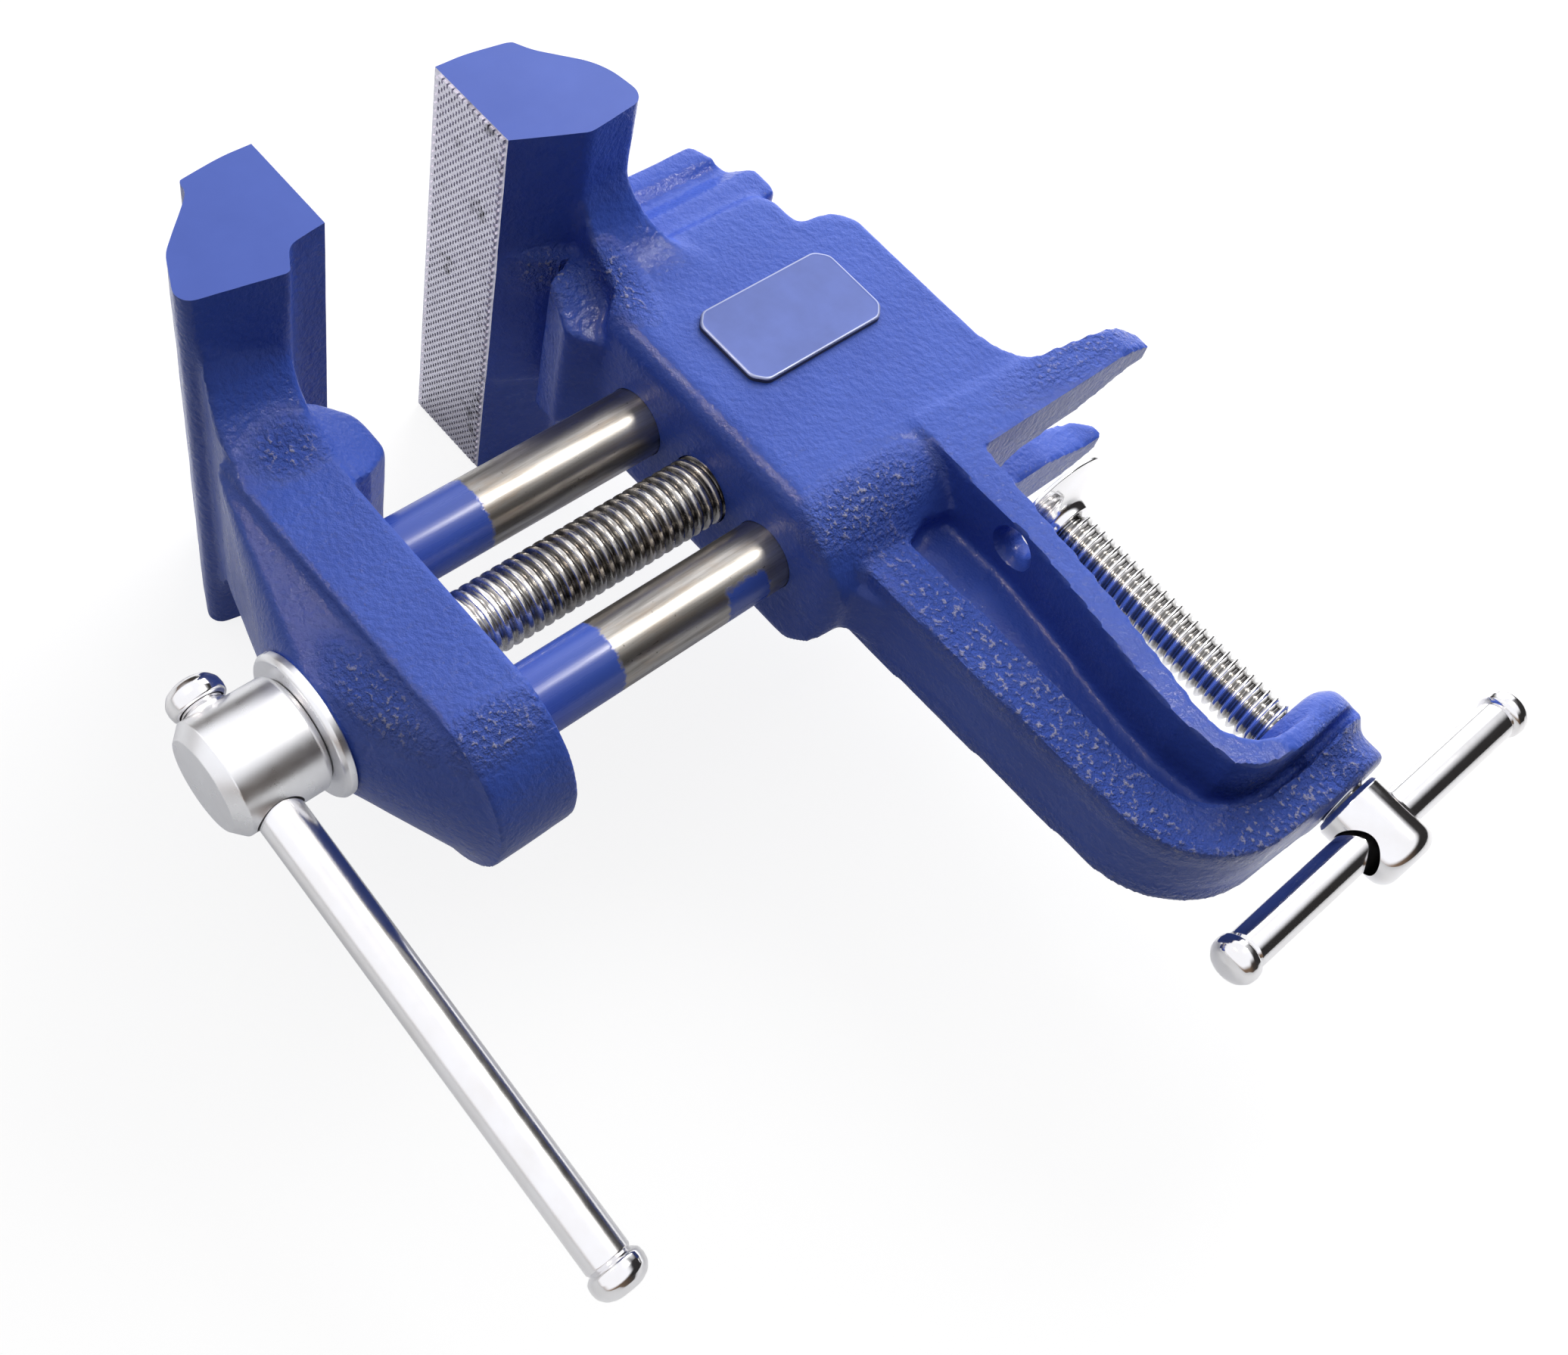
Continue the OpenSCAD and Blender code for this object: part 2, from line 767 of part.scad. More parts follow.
// Main handle: the bar's axis crosses the head, its own Z points to the far end
module main_bar_place() {
  translate([0, bar_y, screw_z])
    rotate([0, 180 + bar_turn, 0])
      children();
}

// Bar with a short spigot at each end for the knobs
module handle_bar(d, from, to) {
  color([0.72, 0.72, 0.74]) {
    translate([0, 0, from])
      cylinder(d = d, h = to - from);
    translate([0, 0, from - spigot_len])
      cylinder(d = spigot_d, h = spigot_len);
    translate([0, 0, to])
      cylinder(d = spigot_d, h = spigot_len);
  }
}

// Knob with a blind bore, a rounded rim and a slightly domed end
module knob(d) {
  color([0.72, 0.72, 0.74])
    rotate_extrude()
      polygon(rounded([
        [spigot_d / 2, 0, 0],
        [d / 2, 0, 0.5],
        [d / 2, knob_len - 0.7, 1.2],
        [d / 4, knob_len, 3],
        [0, knob_len, 0],
        [0, spigot_len, 0],
        [spigot_d / 2, spigot_len, 0]
      ]));
}

module main_handle_bar() {
  main_bar_place()
    handle_bar(bar_d, -knob_base, bar_len - knob_base);
}

module main_handle_knob_near() {
  main_bar_place()
    translate([0, 0, -knob_base])
      rotate([180, 0, 0])
        knob(knob_d);
}

module main_handle_knob_far() {
  main_bar_place()
    translate([0, 0, bar_len - knob_base])
      knob(knob_d);
}

// Flared clamp pad with a socket for the clamp screw's tip
module clamp_pad() {
  color([0.72, 0.72, 0.74])
    rotate_extrude()
      polygon(rounded([
        [0, pad_top, 0],
        [pad_r, pad_top, 0.3],
        [pad_r, pad_top - 0.9, 0.3],
        [tip_d / 2 + 2.6, pad_top - 2.4, 2],
        [tip_d / 2 + 1.8, pad_floor, 0.3],
        [tip_d / 2 + fit, pad_floor, 0],
        [tip_d / 2 + fit, spigot_top + fit, 0],
        [0, spigot_top + fit, 0]
      ]));
}

// Clamp screw: tip in the pad, the thread's outside, and a round-ended head with a cross hole
module clamp_screw() {
  color([0.72, 0.72, 0.74])
    difference() {
      rotate_extrude()
        polygon(rounded([
          [0, spigot_top, 0],
          [tip_d / 2, spigot_top, 0],
          [tip_d / 2, pad_floor - 0.3, 0],
          [clamp_r, pad_floor - 1.3, 0],
          [clamp_r, clamp_head_top, 0],
          [clamp_head_r, clamp_head_top, 0.4],
          [clamp_head_r, clamp_head_floor, 2.4],
          [0, clamp_head_floor, 0]
        ]));
      clamp_bar_place()
        translate([0, 0, -clamp_head_r - cut_over])
          cylinder(d = clamp_bar_d + 2 * fit, h = 2 * (clamp_head_r + cut_over));
    }
}

// Clamp handle: its own Z points to the back
module clamp_bar_place() {
  translate([0, 0, clamp_bar_z])
    rotate([-90, 0, clamp_bar_turn])
      children();
}

module clamp_handle_bar() {
  clamp_bar_place()
    handle_bar(clamp_bar_d, -clamp_bar_len / 2, clamp_bar_len / 2);
}

module clamp_handle_knob_front() {
  clamp_bar_place()
    translate([0, 0, -clamp_bar_len / 2])
      rotate([180, 0, 0])
        knob(clamp_knob_d);
}

module clamp_handle_knob_back() {
  clamp_bar_place()
    translate([0, 0, clamp_bar_len / 2])
      knob(clamp_knob_d);
}

frame_casting();
name_plate();
moving_jaw();
upper_guide_rod();
lower_guide_rod();
screw_retaining_pin();
thrust_washer();
main_screw();
main_handle_bar();
main_handle_knob_near();
main_handle_knob_far();
clamp_pad();
clamp_screw();
clamp_handle_bar();
clamp_handle_knob_front();
clamp_handle_knob_back();
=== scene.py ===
# %% [markdown]
# # A clamp-on table vise
# This lesson dresses a finished construction model. The solids come in with their joints, and every piece
# made here rides on one of their bodies. The castings are made as a foundry makes them: a soft rough blank
# first, and then the flat faces and the bores are cut into it.

# %% Load the frame
import math
import bmesh
import bpy
import numpy as np
from mathutils import Matrix, Vector


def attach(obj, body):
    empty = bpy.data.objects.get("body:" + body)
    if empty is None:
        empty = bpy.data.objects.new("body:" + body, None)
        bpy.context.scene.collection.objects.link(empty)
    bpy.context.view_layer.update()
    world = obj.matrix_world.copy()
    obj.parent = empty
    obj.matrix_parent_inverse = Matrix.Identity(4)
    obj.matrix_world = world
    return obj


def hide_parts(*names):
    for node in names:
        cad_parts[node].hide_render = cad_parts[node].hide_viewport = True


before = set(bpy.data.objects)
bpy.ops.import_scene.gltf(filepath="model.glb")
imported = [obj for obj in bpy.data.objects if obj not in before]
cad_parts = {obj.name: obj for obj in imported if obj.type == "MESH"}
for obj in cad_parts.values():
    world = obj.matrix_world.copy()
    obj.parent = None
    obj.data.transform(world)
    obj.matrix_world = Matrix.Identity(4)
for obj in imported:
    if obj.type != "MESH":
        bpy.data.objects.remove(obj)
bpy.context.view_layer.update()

MM = 0.001

# %% [markdown]
# ## Places and sizes
# The visual pieces stand exactly where the solids are, so the main places are repeated here once, in
# millimetres. X runs across the jaws, Y to the back over the table and Z up from the table.

# %% Places that several pieces share
HALF_JAW = 31.75
JAW_TOP = 72.2
GRIP_H = 14.2
FIXED_GRIP_Y = -42.3
SLIDE_GRIP_Y = -67.4
BODY_FRONT, BODY_BACK = -36.7, 3.3
HALF_BODY = 12.7
UPPER_Z, LOWER_Z, SCREW_Z = 34.2, 8.9, 21.2
ROD_R = 4.76
BAR_BACK, BAR_FRONT, BOSS_FRONT = -77.5, -88.6, -95.7
ARM_FLOOR, BOSS_TOP = -60.9, -49.0


# %% [markdown]
# ## Camera
# The camera was solved from straight edges of known size, which gives its place, its roll and its lens.

# %% Camera
camera_data = bpy.data.cameras.new("photo_camera")
camera = bpy.data.objects.new("photo_camera", camera_data)
bpy.context.collection.objects.link(camera)
right = Vector((0.19344, 0.72832, -0.65736))
up = Vector((0.51486, 0.49499, 0.69993))
ahead = Vector((-0.83516, 0.47385, 0.27923))
pose = Matrix((right, up, -ahead)).transposed().to_4x4()
pose.translation = Vector((192.02, -155.62, -70.38)) * MM
camera.matrix_world = pose
camera_data.sensor_fit = "HORIZONTAL"
camera_data.sensor_width = 36
camera_data.lens = 43.415
camera_data.clip_start = 0.001
bpy.context.scene.camera = camera
bpy.context.scene.view_settings.view_transform = "Standard"
print("camera at", [round(c, 4) for c in camera.location])


# %% [markdown]
# ## Small helpers for shaders
# A procedural finish is a handful of noises, ramps and mixes. These helpers keep each finish short, and
# all patterns read Object coordinates, so they stay on the piece when it moves.

# %% Shader helpers
def feed(tree, socket, value):
    """Join a socket to another one, or give it a constant."""
    if isinstance(value, bpy.types.NodeSocket):
        tree.links.new(value, socket)
    elif isinstance(value, (tuple, list)) and len(value) == 3 and socket.type == "RGBA":
        socket.default_value = (*value, 1)
    else:
        socket.default_value = value


def give(tree, node, inputs):
    for key, value in inputs.items():
        feed(tree, node.inputs[key], value)


def add(tree, kind, inputs=None, **settings):
    """Add a node, set it up and feed its inputs, which go by name or by number."""
    node = tree.nodes.new(kind)
    for label, value in settings.items():
        setattr(node, label, value)
    give(tree, node, inputs or {})
    return node


def cleared(owner):
    """The node tree of a new material or world, emptied."""
    owner.use_nodes = True
    owner.node_tree.nodes.clear()
    return owner.node_tree


def finish(name):
    """A new material, its tree, its surface and the place that its patterns read."""
    material = bpy.data.materials.new(name)
    tree = cleared(material)
    surface = add(tree, "ShaderNodeBsdfPrincipled")
    add(tree, "ShaderNodeOutputMaterial", {"Surface": surface.outputs["BSDF"]})
    return material, tree, surface, object_place(tree)


def object_place(tree, scale=(1, 1, 1), turn=(0, 0, 0)):
    place = add(tree, "ShaderNodeTexCoord").outputs["Object"]
    inputs = {"Vector": place, "Scale": scale, "Rotation": turn}
    return add(tree, "ShaderNodeMapping", inputs).outputs["Vector"]


def noise(tree, place, size_mm, detail=4.0, rough=0.55):
    inputs = {"Vector": place, "Scale": 1000 / size_mm, "Detail": detail, "Roughness": rough}
    return add(tree, "ShaderNodeTexNoise", inputs).outputs["Fac"]


def ramp(tree, value, low, high, out_low=0.0, out_high=1.0, smooth=False):
    inputs = {"Value": value, "From Min": low, "From Max": high, "To Min": out_low, "To Max": out_high}
    kind = "SMOOTHSTEP" if smooth else "LINEAR"
    return add(tree, "ShaderNodeMapRange", inputs, interpolation_type=kind).outputs["Result"]


def sums(tree, kind, a, b=0.0):
    return add(tree, "ShaderNodeMath", {0: a, 1: b}, operation=kind).outputs["Value"]


def times(tree, a, b):
    return sums(tree, "MULTIPLY", a, b)


def blend(tree, share, a, b):
    return add(tree, "ShaderNodeMix", {"Factor": share, "A": a, "B": b}, data_type="RGBA").outputs["Result"]


def axis_of(tree, place, axis):
    return add(tree, "ShaderNodeSeparateXYZ", {"Vector": place}).outputs[axis]


def toward(tree, view, direction):
    """How far a direction points along another: 1 along it, -1 against it."""
    inputs = {0: view, 1: Vector(direction).normalized()}
    return add(tree, "ShaderNodeVectorMath", inputs, operation="DOT_PRODUCT").outputs["Value"]


def bump(tree, height, depth_mm, strength=1.0, over=None):
    node = add(tree, "ShaderNodeBump", {"Strength": strength, "Distance": depth_mm * MM, "Height": height})
    if over is not None:
        feed(tree, node.inputs["Normal"], over)
    return node.outputs["Normal"]


# %% [markdown]
# ## The blue enamel
# The castings are sprayed with gloss enamel straight over the sand-cast skin. The paint rounds off the
# grain but doesn't hide it: close up, the surface is pebbled like an orange, and here and there coarser.
# Where it is coarse, the tips of the grain are painted pale as glints, a painted highlight. How coarse each
# place is, and so where these painted glints go, is stored on the mesh as an attribute, so one finish does
# for both castings.

# %% Enamel
ENAMEL_BLUE = (0.056, 0.112, 0.485)
ENAMEL_DARK = (0.044, 0.090, 0.420)
ENAMEL_FLECK = (0.10, 0.16, 0.54)
# Pale colour painted on the tips of the grain as glints, a painted highlight
PAINTED_GLINT_PALE = (0.58, 0.55, 0.58)
GROUND_DARK, GROUND_BLUE, CHIP = (0.062, 0.112, 0.455), (0.070, 0.124, 0.49), (0.02, 0.028, 0.12)


def make_enamel():
    material, tree, surface, place = finish("cast_enamel")
    # How coarse the skin is; the same mask places the pale painted glints
    coarse_and_glints = add(tree, "ShaderNodeAttribute", attribute_name="coarse_skin_and_glints").outputs["Fac"]
    tone = ramp(tree, noise(tree, place, 14, 3), 0.3, 0.75)
    colour = blend(tree, tone, ENAMEL_DARK, ENAMEL_BLUE)
    fleck = ramp(tree, noise(tree, place, 0.7, 2), 0.68, 0.8)
    colour = blend(tree, times(tree, fleck, 0.25), colour, ENAMEL_FLECK)
    peel = noise(tree, place, 1.6, 4, 0.5)
    grain = noise(tree, place, 0.78, 4, 0.58)
    # Painted glints: where the skin is coarse, the tips of the grain are painted pale, a painted highlight
    painted_glints = times(tree, ramp(tree, grain, 0.565, 0.65), ramp(tree, coarse_and_glints, 0.5, 0.95))
    skin = bump(tree, times(tree, grain, coarse_and_glints), 1.25, 1.0, bump(tree, peel, 0.11))
    give(tree, surface, {
        "Base Color": blend(tree, times(tree, painted_glints, 0.55), colour, PAINTED_GLINT_PALE),
        "Roughness": ramp(tree, noise(tree, place, 3, 4), 0.3, 0.7, 0.24, 0.36),
        "Specular IOR Level": 0.05, "Coat Weight": 0.34, "Coat Roughness": 0.06,
        "Normal": skin, "Coat Normal": skin})
    return material


def make_ground_enamel():
    material, tree, surface, place = finish("ground_enamel")
    drag = noise(tree, object_place(tree, (1, 0.12, 1), (0.6, 0, 0)), 1.2, 3)
    tone = ramp(tree, noise(tree, place, 9, 3), 0.3, 0.7)
    chips = ramp(tree, noise(tree, place, 1.1, 5, 0.7), 0.735, 0.75)
    colour = blend(tree, tone, GROUND_DARK, GROUND_BLUE)
    give(tree, surface, {
        "Base Color": blend(tree, times(tree, chips, 0.7), colour, CHIP),
        "Roughness": ramp(tree, drag, 0.3, 0.7, 0.36, 0.46),
        "Specular IOR Level": 0.24, "Coat Weight": 0.06, "Coat Roughness": 0.25,
        "Normal": bump(tree, drag, 0.02, 0.6)})
    return material


enamel = make_enamel()
ground_enamel = make_ground_enamel()


# %% [markdown]
# ## Bare, oiled and plated metal
# Five metals show: the ground gripping faces, the worn guide rods with overspray on them, the oily main
# screw, the bright plating of the clamp and the handles, and the duller zinc of the washer and the head.
# The plating is dirty in the grooves of the clamp's thread, and less bright on the main bar.

# %% Metals
# The grip's dark and light steel are its painted shaded and lit ends
GRIP_DARK, GRIP_LIGHT, GRIME = (0.46, 0.46, 0.53), (0.61, 0.605, 0.69), (0.10, 0.10, 0.12)
ROD_DARK, ROD_LIGHT = (0.19, 0.18, 0.168), (0.49, 0.475, 0.455)
ROD_RUST, ROD_SPECK = (0.36, 0.25, 0.15), (0.07, 0.06, 0.05)
OIL_DARK, OIL_LIGHT, OIL_STAIN = (0.28, 0.27, 0.26), (0.58, 0.57, 0.55), (0.36, 0.27, 0.19)
WORN_THREAD, SCREW_DIRT, PLATED_DIRT = (0.74, 0.73, 0.72), (0.05, 0.045, 0.04), (0.10, 0.09, 0.08)


def make_grip_steel():
    material, tree, surface, place = finish("grip_steel")
    # Painted shade: the ground steel is darker towards -X, the floor side, and lighter towards +X, where the
    # light falls
    across = ramp(tree, axis_of(tree, place, "X"), -0.032, 0.02)
    shaded_steel = blend(tree, across, GRIP_DARK, GRIP_LIGHT)
    grime = ramp(tree, noise(tree, place, 4.5, 5, 0.65), 0.60, 0.72)
    give(tree, surface, {
        "Base Color": blend(tree, times(tree, grime, 0.75), shaded_steel, GRIME), "Metallic": 1.0,
        "Roughness": ramp(tree, noise(tree, place, 1.0, 3), 0.3, 0.7, 0.34, 0.55),
        "Normal": bump(tree, noise(tree, place, 0.4, 3), 0.03, 0.7)})
    return material


def make_guide_steel():
    material, tree, surface, place = finish("guide_steel")
    streak = noise(tree, object_place(tree, (1, 0.06, 1)), 1.3, 5, 0.65)
    metal = blend(tree, ramp(tree, streak, 0.32, 0.7), ROD_DARK, ROD_LIGHT)
    rust = ramp(tree, noise(tree, object_place(tree, (1, 0.25, 1)), 2.6, 5, 0.7), 0.52, 0.72)
    metal = blend(tree, times(tree, rust, 0.35), metal, ROD_RUST)
    specks = ramp(tree, noise(tree, place, 0.7, 3, 0.7), 0.68, 0.74)
    metal = blend(tree, specks, metal, ROD_SPECK)
    # Overspray covers both rods up to a ragged line, and one patch low on the lower rod
    ragged = times(tree, sums(tree, "SUBTRACT", noise(tree, place, 1.4, 5, 0.75), 0.5), 0.0022)
    edge = sums(tree, "ADD", axis_of(tree, place, "Y"), ragged)
    low = ramp(tree, sums(tree, "ADD", axis_of(tree, place, "Z"), ragged), 0.0062, 0.0056)
    patch = times(tree, ramp(tree, edge, -0.0467, -0.0463), ramp(tree, edge, -0.0398, -0.0402))
    painted = sums(tree, "MAXIMUM", ramp(tree, edge, -0.0631, -0.0635), times(tree, patch, low))
    bare_rough = ramp(tree, streak, 0.3, 0.7, 0.42, 0.26)
    height = sums(tree, "ADD", times(tree, streak, 0.4), times(tree, painted, 0.8))
    give(tree, surface, {
        "Base Color": blend(tree, painted, metal, ENAMEL_BLUE),
        "Metallic": sums(tree, "SUBTRACT", 1.0, painted),
        "Roughness": sums(tree, "SUBTRACT", bare_rough, times(tree, painted, 0.06)),
        "Normal": bump(tree, height, 0.05, 0.7)})
    return material


def groove_dirt(tree, place, across, along, middle_mm, root_mm, crest_mm):
    """1 at the root of a thread and 0 at its crest, by the distance from the screw's axis."""
    a = axis_of(tree, place, across)
    b = sums(tree, "SUBTRACT", axis_of(tree, place, along), middle_mm * MM)
    squared = sums(tree, "ADD", times(tree, a, a), times(tree, b, b))
    return ramp(tree, sums(tree, "SQRT", squared), root_mm * MM, crest_mm * MM, 1.0, 0.0)


def make_screw_steel():
    material, tree, surface, place = finish("oiled_screw_steel")
    worn = ramp(tree, axis_of(tree, place, "Y"), -0.060, -0.074, smooth=True)
    oil = ramp(tree, noise(tree, place, 3.0, 4, 0.6), 0.35, 0.7)
    colour = blend(tree, oil, OIL_DARK, OIL_LIGHT)
    stain = ramp(tree, noise(tree, place, 5.0, 4, 0.6), 0.52, 0.70)
    colour = blend(tree, times(tree, stain, 0.25), colour, OIL_STAIN)
    colour = blend(tree, worn, colour, WORN_THREAD)
    dirt = groove_dirt(tree, place, "X", "Z", SCREW_Z, 4.05, 4.6)
    dirt = times(tree, dirt, ramp(tree, worn, 0.0, 1.0, 0.85, 0.45))
    give(tree, surface, {
        "Base Color": blend(tree, dirt, colour, SCREW_DIRT), "Metallic": 1.0,
        "Roughness": ramp(tree, noise(tree, place, 1.2, 4), 0.3, 0.7, 0.16, 0.34),
        "Normal": bump(tree, noise(tree, place, 0.5, 4, 0.6), 0.03, 0.6)})
    return material


def make_plating(name, colour, dull, rough_low, rough_high, wobble_mm, threaded=False):
    material, tree, surface, place = finish(name)
    cloud = ramp(tree, noise(tree, place, 6, 4, 0.6), 0.35, 0.75)
    colour = blend(tree, cloud, colour, dull)
    if threaded:
        dirt = groove_dirt(tree, place, "X", "Y", 0.0, 2.95, 3.55)
        colour = blend(tree, times(tree, dirt, 0.75), colour, PLATED_DIRT)
    waves = sums(tree, "ADD", noise(tree, place, 3.5, 2), times(tree, noise(tree, place, 0.5, 3), 0.12))
    give(tree, surface, {
        "Base Color": colour, "Metallic": 1.0,
        "Roughness": ramp(tree, noise(tree, place, 2.2, 5, 0.65), 0.3, 0.75, rough_low, rough_high),
        "Normal": bump(tree, waves, wobble_mm, 0.8)})
    return material


grip_steel = make_grip_steel()
guide_steel = make_guide_steel()
screw_steel = make_screw_steel()
plating = make_plating("bright_plating", (0.86, 0.86, 0.88), (0.80, 0.79, 0.79), 0.08, 0.14, 0.012)
thread_plating = make_plating(
    "thread_plating", (0.86, 0.86, 0.87), (0.80, 0.79, 0.78), 0.12, 0.20, 0.006, threaded=True)
bar_plating = make_plating("bar_plating", (0.86, 0.86, 0.88), (0.81, 0.80, 0.80), 0.17, 0.24, 0.006)
zinc = make_plating("zinc_plating", (0.84, 0.85, 0.87), (0.79, 0.79, 0.81), 0.26, 0.34, 0.004)
print("finishes:", [m.name for m in bpy.data.materials if m.users == 0])


# %% [markdown]
# ## Meshes from code
# Round pieces are turned: a profile of radius against length, carried round an axis. Corners of a profile
# can have their own radius, as a lathe tool leaves them. Every finished piece sits at the origin with its
# place in its mesh.

# %% Turning helpers
def link_mesh(name, mesh):
    piece = bpy.data.objects.new(name, mesh)
    bpy.context.collection.objects.link(piece)
    return piece


def eased(points, steps=6):
    """Round the corners of an open profile; each point is radius, length and corner radius."""
    out = []
    for i, (r, t, ease) in enumerate(points):
        if ease == 0 or i in (0, len(points) - 1):
            out.append((r, t))
            continue
        here = np.array((r, t), float)
        a = np.array(points[i - 1][:2], float) - here
        b = np.array(points[i + 1][:2], float) - here
        u, v = a / np.linalg.norm(a), b / np.linalg.norm(b)
        half = math.acos(max(-1, min(1, float(u @ v)))) / 2
        reach = min(ease / math.tan(half), 0.49 * np.linalg.norm(a), 0.49 * np.linalg.norm(b))
        ease = reach * math.tan(half)
        centre = here + (u + v) / np.linalg.norm(u + v) * ease / math.sin(half)
        start, end = here + u * reach - centre, here + v * reach - centre
        first = math.atan2(start[1], start[0])
        sweep = (math.atan2(end[1], end[0]) - first + 3 * math.pi) % (2 * math.pi) - math.pi
        for k in range(steps + 1):
            angle = first + sweep * k / steps
            out.append(tuple(centre + ease * np.array((math.cos(angle), math.sin(angle)))))
    return out


def as_mesh(bm, name):
    mesh = bpy.data.meshes.new(name)
    bm.to_mesh(mesh)
    bm.free()
    return mesh


def axis_frame(origin, axis):
    """Matrix that stands a piece made along Z on an axis; millimetres in, metres out."""
    z = Vector(axis).normalized()
    turn = Vector((0, 0, 1)).rotation_difference(z).to_matrix().to_4x4()
    return Matrix.Translation(Vector(origin) * MM) @ turn @ Matrix.Scale(MM, 4)


def turned_mesh(name, profile, origin, axis, sides=96, closed=False):
    bm = bmesh.new()
    rings = []
    circle = [(math.cos(2 * math.pi * k / sides), math.sin(2 * math.pi * k / sides)) for k in range(sides)]
    for r, t in profile:
        if r < 1e-6:
            rings.append([bm.verts.new((0, 0, t))])
        else:
            rings.append([bm.verts.new((r * c, r * s, t)) for c, s in circle])
    pairs = list(zip(rings, rings[1:] + rings[:1] if closed else rings[1:]))
    for a, b in pairs:
        for k in range(sides):
            j = (k + 1) % sides
            corners = [a[k % len(a)], a[j % len(a)], b[j % len(b)], b[k % len(b)]]
            corners = list(dict.fromkeys(corners))
            if len(corners) > 2:
                bm.faces.new(corners)
    bmesh.ops.recalc_face_normals(bm, faces=bm.faces)
    bm.transform(axis_frame(origin, axis))
    return as_mesh(bm, name)


def turned_piece(name, profile, origin, axis, sides=96, closed=False):
    return link_mesh(name, turned_mesh(name, profile, origin, axis, sides, closed))


def dress(piece, material, body, slot, *nodes, sharp=38):
    """Finish a piece: smooth shading with sharp corners, material, body and the nodes it stands for. The slot
    is not used.
    """
    mesh = piece.data
    if material is not None:
        mesh.materials.clear()
        mesh.materials.append(material)
    mesh.polygons.foreach_set("use_smooth", [True] * len(mesh.polygons))
    mesh.set_sharp_from_angle(angle=math.radians(sharp))
    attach(piece, body)
    if nodes:
        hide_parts(*nodes)
    print(piece.name, "on", body, len(mesh.polygons), "faces")


def keep_evaluated(piece):
    """Turn what the modifiers make into the piece's own mesh."""
    graph = bpy.context.evaluated_depsgraph_get()
    graph.update()
    mesh = bpy.data.meshes.new_from_object(piece.evaluated_get(graph))
    piece.modifiers.clear()
    piece.data = mesh


def cut_away(piece, cutter_mesh):
    cutter = link_mesh("cutter", cutter_mesh)
    knife = piece.modifiers.new("cut", "BOOLEAN")
    knife.operation = "DIFFERENCE"
    knife.solver = "EXACT"
    knife.object = cutter
    keep_evaluated(piece)
    bpy.data.objects.remove(cutter)


def rod_mesh(radius, start, end, sides=64):
    length = (Vector(end) - Vector(start)).length
    profile = [(0, 0), (radius, 0), (radius, length), (0, length)]
    return turned_mesh("rod", profile, start, Vector(end) - Vector(start), sides)


# %% [markdown]
# ## Casting a blank
# The foundry's way to a casting: the solid is copied, its jaws are left over-long, its bores are plugged,
# and the whole is remeshed in small cubes. Then the corners are softened. Hollow corners fill
# faster than outer ones wear, so the fillets come out larger than the edges, as in sand casting.

# %% Casting helpers
SURPLUS, TOP_GAP, LIP_HEIGHT = 3.0, 0.02, 0.3
WELD_M, SAME_PLANE_M = 2e-6, 1e-5


def to_cubes(piece, voxel):
    """Remesh a piece in small cubes, which joins everything that overlaps."""
    cubes = piece.modifiers.new("cubes", "REMESH")
    cubes.mode = "VOXEL"
    cubes.voxel_size = voxel * MM
    keep_evaluated(piece)


def cast_blank(node, name, plugs, grip_y, facing, lip_slope, voxel):
    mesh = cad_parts[node].data.copy()
    mesh.materials.clear()
    bm = bmesh.new()
    bm.from_mesh(mesh)
    bmesh.ops.remove_doubles(bm, verts=bm.verts, dist=WELD_M)
    lip_z = (JAW_TOP - GRIP_H + LIP_HEIGHT) * MM
    for v in bm.verts:
        if abs(abs(v.co.x) - HALF_JAW * MM) < SAME_PLANE_M:
            v.co.x += math.copysign(SURPLUS * MM, v.co.x)
        if abs(v.co.y - grip_y * MM) < SAME_PLANE_M:
            v.co.y += facing * SURPLUS * MM
            if v.co.z < lip_z:
                v.co.z += lip_slope * SURPLUS * MM
    for plug in plugs:
        bm.from_mesh(plug)
        bpy.data.meshes.remove(plug)
    bm.to_mesh(mesh)
    bm.free()
    piece = link_mesh(name, mesh)
    to_cubes(piece, voxel)
    print(name, "blank of", len(piece.data.polygons), "faces")
    return piece


def points_of(mesh):
    co = np.empty(len(mesh.vertices) * 3)
    mesh.vertices.foreach_get("co", co)
    return co.reshape(-1, 3)


def put_points(mesh, co):
    mesh.vertices.foreach_set("co", co.ravel())
    mesh.update()


def soften(mesh, passes, outer_share, free=None):
    """Smooth a mesh, with hollow corners filled faster than outer corners wear."""
    co = points_of(mesh)
    count = len(co)
    edges = np.empty(len(mesh.edges) * 2, np.int32)
    mesh.edges.foreach_get("vertices", edges)
    a, b = edges.reshape(-1, 2).T
    near = np.bincount(a, minlength=count) + np.bincount(b, minlength=count)
    near = np.maximum(near, 1)[:, None]
    share_of = np.ones(count) if free is None else free
    for step in range(passes):
        if step % 5 == 0:
            put_points(mesh, co)
            normal = np.empty(count * 3)
            mesh.vertex_normals.foreach_get("vector", normal)
            normal = normal.reshape(-1, 3)
        around = [np.bincount(a, co[b, k], count) + np.bincount(b, co[a, k], count) for k in range(3)]
        pull = np.stack(around, 1) / near - co
        hollow = (pull * normal).sum(1) > 0
        co = co + pull * (np.where(hollow, 0.5, 0.5 * outer_share) * share_of)[:, None]
    put_points(mesh, co)


def looseness(mesh, places):
    """How freely each point may move: 1, or less inside a box. A box is centre, half size and share."""
    co = points_of(mesh) / MM
    free = np.ones(len(co))
    for centre, half, share in places:
        gap = np.abs((co - np.array(centre)) / np.array(half)).max(1)
        free = np.minimum(free, share + (1 - share) * np.clip((gap - 1) * 4, 0, 1))
    return free


def keep_below_top(mesh):
    co = points_of(mesh)
    co[:, 2] = np.minimum(co[:, 2], (JAW_TOP - TOP_GAP) * MM)
    put_points(mesh, co)


